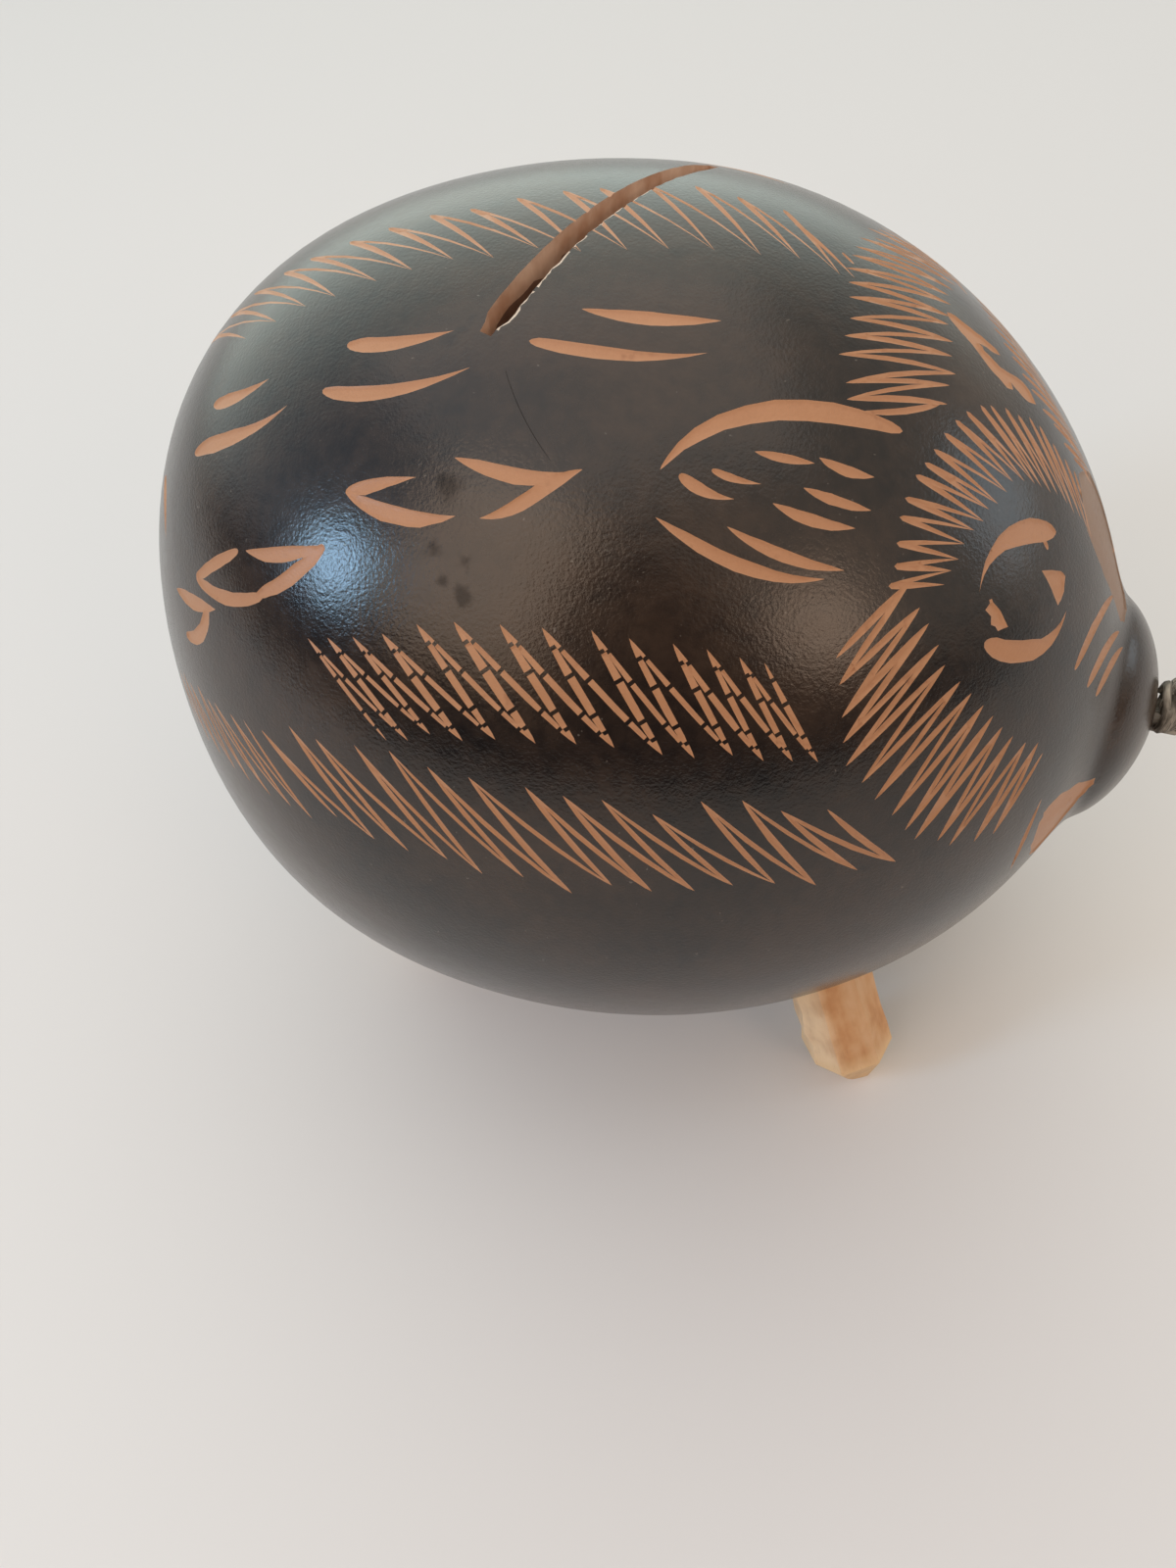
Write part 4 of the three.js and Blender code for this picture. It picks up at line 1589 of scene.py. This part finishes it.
@dataclass
class FibreKnot:
    """A stub of knotted plant cord on the tip of the snout."""

    radius: float = 4.2
    length: float = 7.0
    sunk: float = 0.4
    spare: float = 0.35
    rise: float = 2.3
    to_left: float = 1.5
    stem_radius: float = 1.8
    stem_outside: float = 1.6
    stem_depth: float = 6.5
    ply: float = 0.62
    ply_twist: float = 9.0
    collar: float = 2.7
    collar_turns: float = 1.6
    collar_shift: tuple[float, float] = (0.8, 1.7)
    hairs: int = 46
    hair_length: tuple[float, float] = (0.9, 2.4)
    hair_radius: tuple[float, float] = (0.11, 0.03)

    SEED = 3
    WINDINGS = ((0.31, 3.0, 0.0), (-0.43, 3.0, 1.1))  # lean, turns and phase of each cord
    PLY_OFFSET, PLY_RADIUS = 0.62, 0.75  # shares of the ply's size
    COLLARS = ((0.0, 0.75), (2.4, 1.5))  # starting angle and lift of each ring
    WOBBLE = (0.3, 2.3)  # how much and how fast a ring's radius varies
    BOB = (0.15, 3.1)  # the same for its height
    CLIMB = 0.12
    HAIR_LEAN = np.array([0.7, 0.0, 0.0])
    HAIR_BEND, HAIR_CURL = 0.5, 0.6
    CORD_STEPS, COLLAR_STEPS, STEM_STEPS, HAIR_STEPS = 170, 60, 24, 7
    CORD_SIDES, COLLAR_SIDES, STEM_SIDES, HAIR_SIDES = 7, 8, 12, 4
    GRAIN = (0.15, 3.0, 7.0)  # texture along a cord, round it, and from one to the next

    def build(self, form: GourdForm) -> bpy.types.Object:
        """Winds two-ply cord over a small core, with a collar, a stem in the snout and stray hairs."""
        self.parts: list[tuple[Array, list[Array]]] = []
        self.grains: list[Array] = []
        across = np.array([0.0, 1.0, 0.0])
        self.axes = np.stack([form.axis, across, np.cross(form.axis, across)])
        self.tip = form.to_row(np.array([[form.knob_tip, 0.0, 0.0]]))[0]
        shift = np.array([self.length / 2 - self.sunk, self.to_left, self.rise])
        self.middle = self.tip + shift @ self.axes
        self.reach = np.array([self.length / 2 - self.spare, self.radius, self.radius]) - 2 * self.ply
        self.wind_cords()
        self.wind_collars()
        run = np.linspace(-self.stem_depth, self.length / 2, self.STEM_STEPS)
        thick = np.where(run < 0, self.stem_radius, self.stem_outside)
        self.add(self.tip + run[:, None] * form.axis, thick, across, self.STEM_SIDES)
        self.grow_hairs()
        points, faces = joined(self.parts)
        piece = write_mesh("fibre_knot", points, faces)
        set_grain(piece, np.concatenate(self.grains))
        return piece

    def add(self, path: Array, radius: Any, aside: Array, sides: int) -> None:
        """Adds a tube along a path, with texture places along and round it."""
        along, around, apart = self.GRAIN
        thick, aside = np.broadcast_to(radius, len(path)), np.broadcast_to(aside, path.shape)
        self.parts.append(tube(path, thick, aside, sides))
        run = running(np.linalg.norm(np.diff(path, axis=0), axis=1))
        turn = np.arange(sides) / sides
        grid = np.stack(np.meshgrid(run * along, turn * around, indexing="ij"), -1).reshape(-1, 2)
        own = np.concatenate([grid, grid[:1], grid[-1:]])
        self.grains.append(np.concatenate([own, np.full((len(own), 1), apart * len(self.grains))], 1))

    def wind_cords(self) -> None:
        """Winds each cord, of two plies, over the core."""
        for lean, turns, phase in self.WINDINGS:
            t = np.linspace(0.0, 2 * np.pi * turns, self.CORD_STEPS)
            swing = lean * t + phase
            ball = np.stack([np.sin(t) * np.cos(swing), np.cos(t), np.sin(t) * np.sin(swing)], -1)
            out = unit(ball / self.reach) @ self.axes
            line = self.middle + (ball * self.reach) @ self.axes
            side = unit(np.cross(unit(np.gradient(line, axis=0)), out))
            for twist in (0.0, np.pi):
                shift = spun(self.ply_twist * t + twist, out, side)
                path = line + shift * self.ply * self.PLY_OFFSET
                self.add(path, self.ply * self.PLY_RADIUS, out, self.CORD_SIDES)

    def wind_collars(self) -> None:
        """Winds the loose rings of cord between the knot and the skin."""
        (wobble, fast), (bob, quick) = self.WOBBLE, self.BOB
        aside, above = self.collar_shift
        for start, lift in self.COLLARS:
            t = np.linspace(0.0, 2 * np.pi * self.collar_turns, self.COLLAR_STEPS)
            spin = t + start
            wide = self.collar + wobble * np.sin(fast * t)
            height = lift + self.CLIMB * t + bob * np.sin(quick * t)
            sway = np.stack([height, wide * np.cos(spin) + aside, wide * np.sin(spin) + above], -1)
            self.add(self.tip + sway @ self.axes, self.ply, self.axes[0], self.COLLAR_SIDES)

    def grow_hairs(self) -> None:
        """Adds stray hairs that leave the knot and bend."""
        rng = np.random.default_rng(self.SEED)
        t = np.linspace(0.0, 1.0, self.HAIR_STEPS)[:, None]
        thick = np.linspace(*self.hair_radius, self.HAIR_STEPS)
        for _ in range(self.hairs):
            way = unit(rng.normal(0, 1, 3) + self.HAIR_LEAN)
            bend = rng.normal(0, self.HAIR_BEND, 3)
            start = self.middle + (way * self.reach) @ self.axes
            grow = (way * t + bend * t**2 * self.HAIR_CURL) * rng.uniform(*self.hair_length)
            aside = np.cross(way, bend) @ self.axes
            self.add(start + grow @ self.axes, thick, aside, self.HAIR_SIDES)


# Camera, floor and light


@dataclass
class Viewpoint:
    """Where the photograph was taken from, for an image of 1200 by 1600 pixels."""

    elevation: float = 44.4
    azimuth: float = 23.4
    roll: float = -7.5
    distance: float = 174.9
    behind_ring: float = 6.2
    aim_pixel: tuple[float, float] = (579.2, 614.2)
    middle_pixel: tuple[float, float] = (600.0, 800.0)
    focal_pixels: float = 1200.0
    longest_pixels: float = 1600.0
    sensor: float = 36.0
    nearest: float = 0.01  # in metres

    def build(self, form: GourdForm) -> None:
        """Makes the camera: it looks at the fruit's axis, then turns until that point meets its pixel."""
        rise, turn, roll = (math.radians(v) for v in (self.elevation, self.azimuth, self.roll))
        back = np.array([math.sin(turn) * math.cos(rise), -math.cos(turn) * math.cos(rise), math.sin(rise)])
        right = np.array([math.cos(turn), math.sin(turn), 0.0])
        up = np.cross(back, right)
        side = math.cos(roll) * right + math.sin(roll) * up
        level = np.stack([side, np.cross(-back, side), -back])
        offset = (np.array(self.aim_pixel) - np.array(self.middle_pixel)) / self.focal_pixels
        swing = Vector((0, 0, 1)).rotation_difference(Vector((*offset, 1.0)).normalized())
        right, down, ahead = np.array(swing.to_matrix()) @ level
        aim = form.centre - form.axis * self.behind_ring
        place = (aim + back * self.distance) * MM
        matrix = np.eye(4)
        matrix[:3, :3] = np.stack([right, -down, -ahead], -1)
        matrix[:3, 3] = place
        data = bpy.data.cameras.new("viewpoint")
        data.sensor_width = self.sensor
        data.lens = self.focal_pixels / self.longest_pixels * self.sensor
        data.clip_start = self.nearest
        camera = bpy.data.objects.new("viewpoint", data)
        camera.matrix_world = Matrix(matrix.tolist())
        bpy.context.scene.collection.objects.link(camera)
        bpy.context.scene.camera = camera


@dataclass(frozen=True)
class Lamp:
    """A soft rectangular lamp, in metres, aimed at a point."""

    name: str
    place: tuple[float, float, float]
    size: tuple[float, float]
    power: float
    colour: tuple[float, float, float] = (1.0, 1.0, 1.0)
    aim: tuple[float, float, float] = (0.0, 0.0, 0.06)

    def build(self) -> None:
        """Makes the lamp."""
        data = bpy.data.lights.new(self.name, "AREA")
        data.shape = "RECTANGLE"
        data.size, data.size_y = self.size
        data.energy = self.power
        data.color = self.colour
        lamp = bpy.data.objects.new(self.name, data)
        lamp.location = self.place
        way = Vector(self.aim) - Vector(self.place)
        lamp.rotation_euler = way.to_track_quat("-Z", "Y").to_euler()
        bpy.context.scene.collection.objects.link(lamp)


@dataclass(frozen=True)
class Room:
    """Pale surroundings, bright behind, dimmer toward the horizon and at one place in front."""

    cool: str = "e2edfc"
    warm: str = "f6efe4"
    cool_way: tuple[float, float, float] = (-1.0, -0.2, 0.0)
    cool_edge: tuple[float, float] = (-0.3, 0.8)
    dim: str = "47444e"
    glow: str = "e2eee6"
    glow_gain: float = 3.2
    glow_way: tuple[float, float, float] = (-0.53, 0.85, 0.0)
    glow_edge: tuple[float, float] = (0.3, 1.05)
    strength: float = 0.7
    upward: tuple[float, float, float] = (0.0, 0.5, 1.0)
    horizon: tuple[float, float] = (-0.05, 0.24)
    dimmed: tuple[float, float, float] = (0.325, -0.945, 0.14)
    dimmed_edge: tuple[float, float] = (0.86, 0.94)
    flatten: tuple[float, float, float] = (1.0, 1.0, 0.4)
    backdrop: str = "e6e2dd"

    def build(self) -> None:
        """Makes the world.

        It runs from cool to warm from left to right, is open to daylight behind, and is dimmed below and
        at a place in front. The camera sees a plain pale backdrop instead.
        """
        world = bpy.data.worlds.new("surroundings")
        world.use_nodes = True
        tree = Tree(world.node_tree)
        way = tree.node("ShaderNodeTexCoord", {}, {}, "Generated")
        height = tree.along(way, self.upward).band(*self.horizon)
        flat = tree.vector("NORMALIZE", tree.vector("MULTIPLY", way, self.flatten))
        toward = tuple(unit(np.array(self.dimmed)))
        shade = tree.along(flat, toward).band(*self.dimmed_edge)
        left = tree.along(way, self.cool_way).band(*self.cool_edge)
        bright = tree.mixed(left, self.warm, self.cool)
        open_air = tree.along(way, self.glow_way).band(*self.glow_edge)
        daylight = tuple(level * self.glow_gain for level in linear(self.glow))
        lit = tree.mixed(open_air, bright, daylight)
        colour = tree.mixed(height * (1.0 - shade), self.dim, lit)
        seen = tree.node("ShaderNodeLightPath", {}, {}, "Is Camera Ray")
        plain = tuple(level / self.strength for level in linear(self.backdrop))
        ground = world.node_tree.nodes["Background"].inputs
        tree.feed(ground["Color"], tree.mixed(seen, colour, plain))
        tree.feed(ground["Strength"], self.strength)
        bpy.context.scene.world = world


@dataclass
class Studio:
    """Plain pale floor, soft surroundings and lamps."""

    floor_colour: str = "dad7d6"
    floor_size: float = 6.0
    floor_ior: float = 1.5
    floor_rough: float = 0.7
    lamps: tuple[Lamp, ...] = (
        Lamp("ceiling", (-0.1, 0.15, 1.3), (1.6, 1.3), 4.2, (1.0, 0.98, 0.94)),
        Lamp("window", (-0.88, -0.62, 0.6), (0.22, 0.26), 3.4, (0.46, 0.73, 1.0)),
        Lamp("room_left", (-0.33, -0.78, 0.86), (0.66, 0.95), 3.7, (1.0, 0.72, 0.5)),
        Lamp("room_right", (0.9, -0.52, 0.67), (0.36, 0.4), 1.4, (1.0, 0.7, 0.5)),
        Lamp("far_window", (0.9, 0.45, 0.36), (0.4, 0.36), 0.65, (0.72, 0.88, 1.0)),
    )

    def build(self) -> None:
        """Makes the floor, the surroundings and the lamps."""
        half = self.floor_size / 2 / MM
        corners = np.array([[-half, -half, 0], [half, -half, 0], [half, half, 0], [-half, half, 0]], float)
        floor = write_mesh("floor", corners, [np.array([[0, 1, 2, 3]])], smooth=False)
        plain = Shader("plain_floor").finish(self.floor_ior, linear(self.floor_colour), self.floor_rough)
        floor.data.materials.append(plain)
        Room().build()
        for lamp in self.lamps:
            lamp.build()


# The bank


def settle(piece: bpy.types.Object, body: str, node: str) -> None:
    """Lets a piece ride on a body in place of a CAD node, and reports it."""
    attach(piece, body)
    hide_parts(node)
    log.info("%s stands for %s: %d faces", piece.name, node, len(piece.data.polygons))


def main() -> None:
    """Builds the camera, the studio and every piece in order."""
    logging.basicConfig(level=logging.INFO, format="%(message)s")
    bpy.context.scene.view_settings.view_transform = "Standard"
    low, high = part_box("belly_stopper")
    form = GourdForm(ring_x=(low.x + high.x) / 2 / MM)
    Viewpoint().build(form)
    Studio().build()

    legs = [
        Leg("front_right_leg", (47.6, -28.8), (-0.29, 0.12), seed=1),
        Leg("front_left_leg", (47.6, 28.8), (-0.29, -0.12), seed=2),
        Leg("rear_right_leg", (-33.2, -20.0), (0.22, 0.04), seed=3),
        Leg("rear_left_leg", (-33.2, 20.0), (0.22, -0.04), seed=4),
    ]
    stopper = Stopper()
    slot = CoinSlot()
    holes = [slot.hole(form), stopper.hole(form), *(leg.hole(form) for leg in legs)]
    cuts = PigCarving().carve(form.outer) + slot.chips(form)
    shell = CarvedShell(form, cuts, holes).build()
    sawn = SawnRind("sawn_rind", "b58668", "e6c8b0")
    inside = SawnRind("dark_inside", "6a4a3a", "94705a")
    scraped = BareRind("scraped_rind", "94745c", "80604a", "604736")
    scratch = SawnRind("scratch", "14100e", "2a211b")
    for finish in (DyedSkin(form.outer), BareRind(), sawn, RindChip(), inside, scraped, scratch):
        shell.data.materials.append(finish.make())
    settle(shell, "bank", "gourd_shell")

    wood = WhittledWood().make()
    for leg in legs:
        piece = leg.build(form)
        piece.data.materials.append(wood)
        settle(piece, "bank", leg.name)

    plug = stopper.build(form)
    # The stopper's painted lit side and its fresh cut take its pale colour
    worn = WhittledWood("stopper_wood", "c79d6b", "ab7c4c", "855a34", "c79d6b", "c79d6b")
    plug.data.materials.append(worn.make())
    settle(plug, "stopper", "belly_stopper")

    knot = FibreKnot().build(form)
    knot.data.materials.append(DarkFibre().make())
    settle(knot, "bank", "snout_knot")


if __name__ == "__main__":
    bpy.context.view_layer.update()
    main()
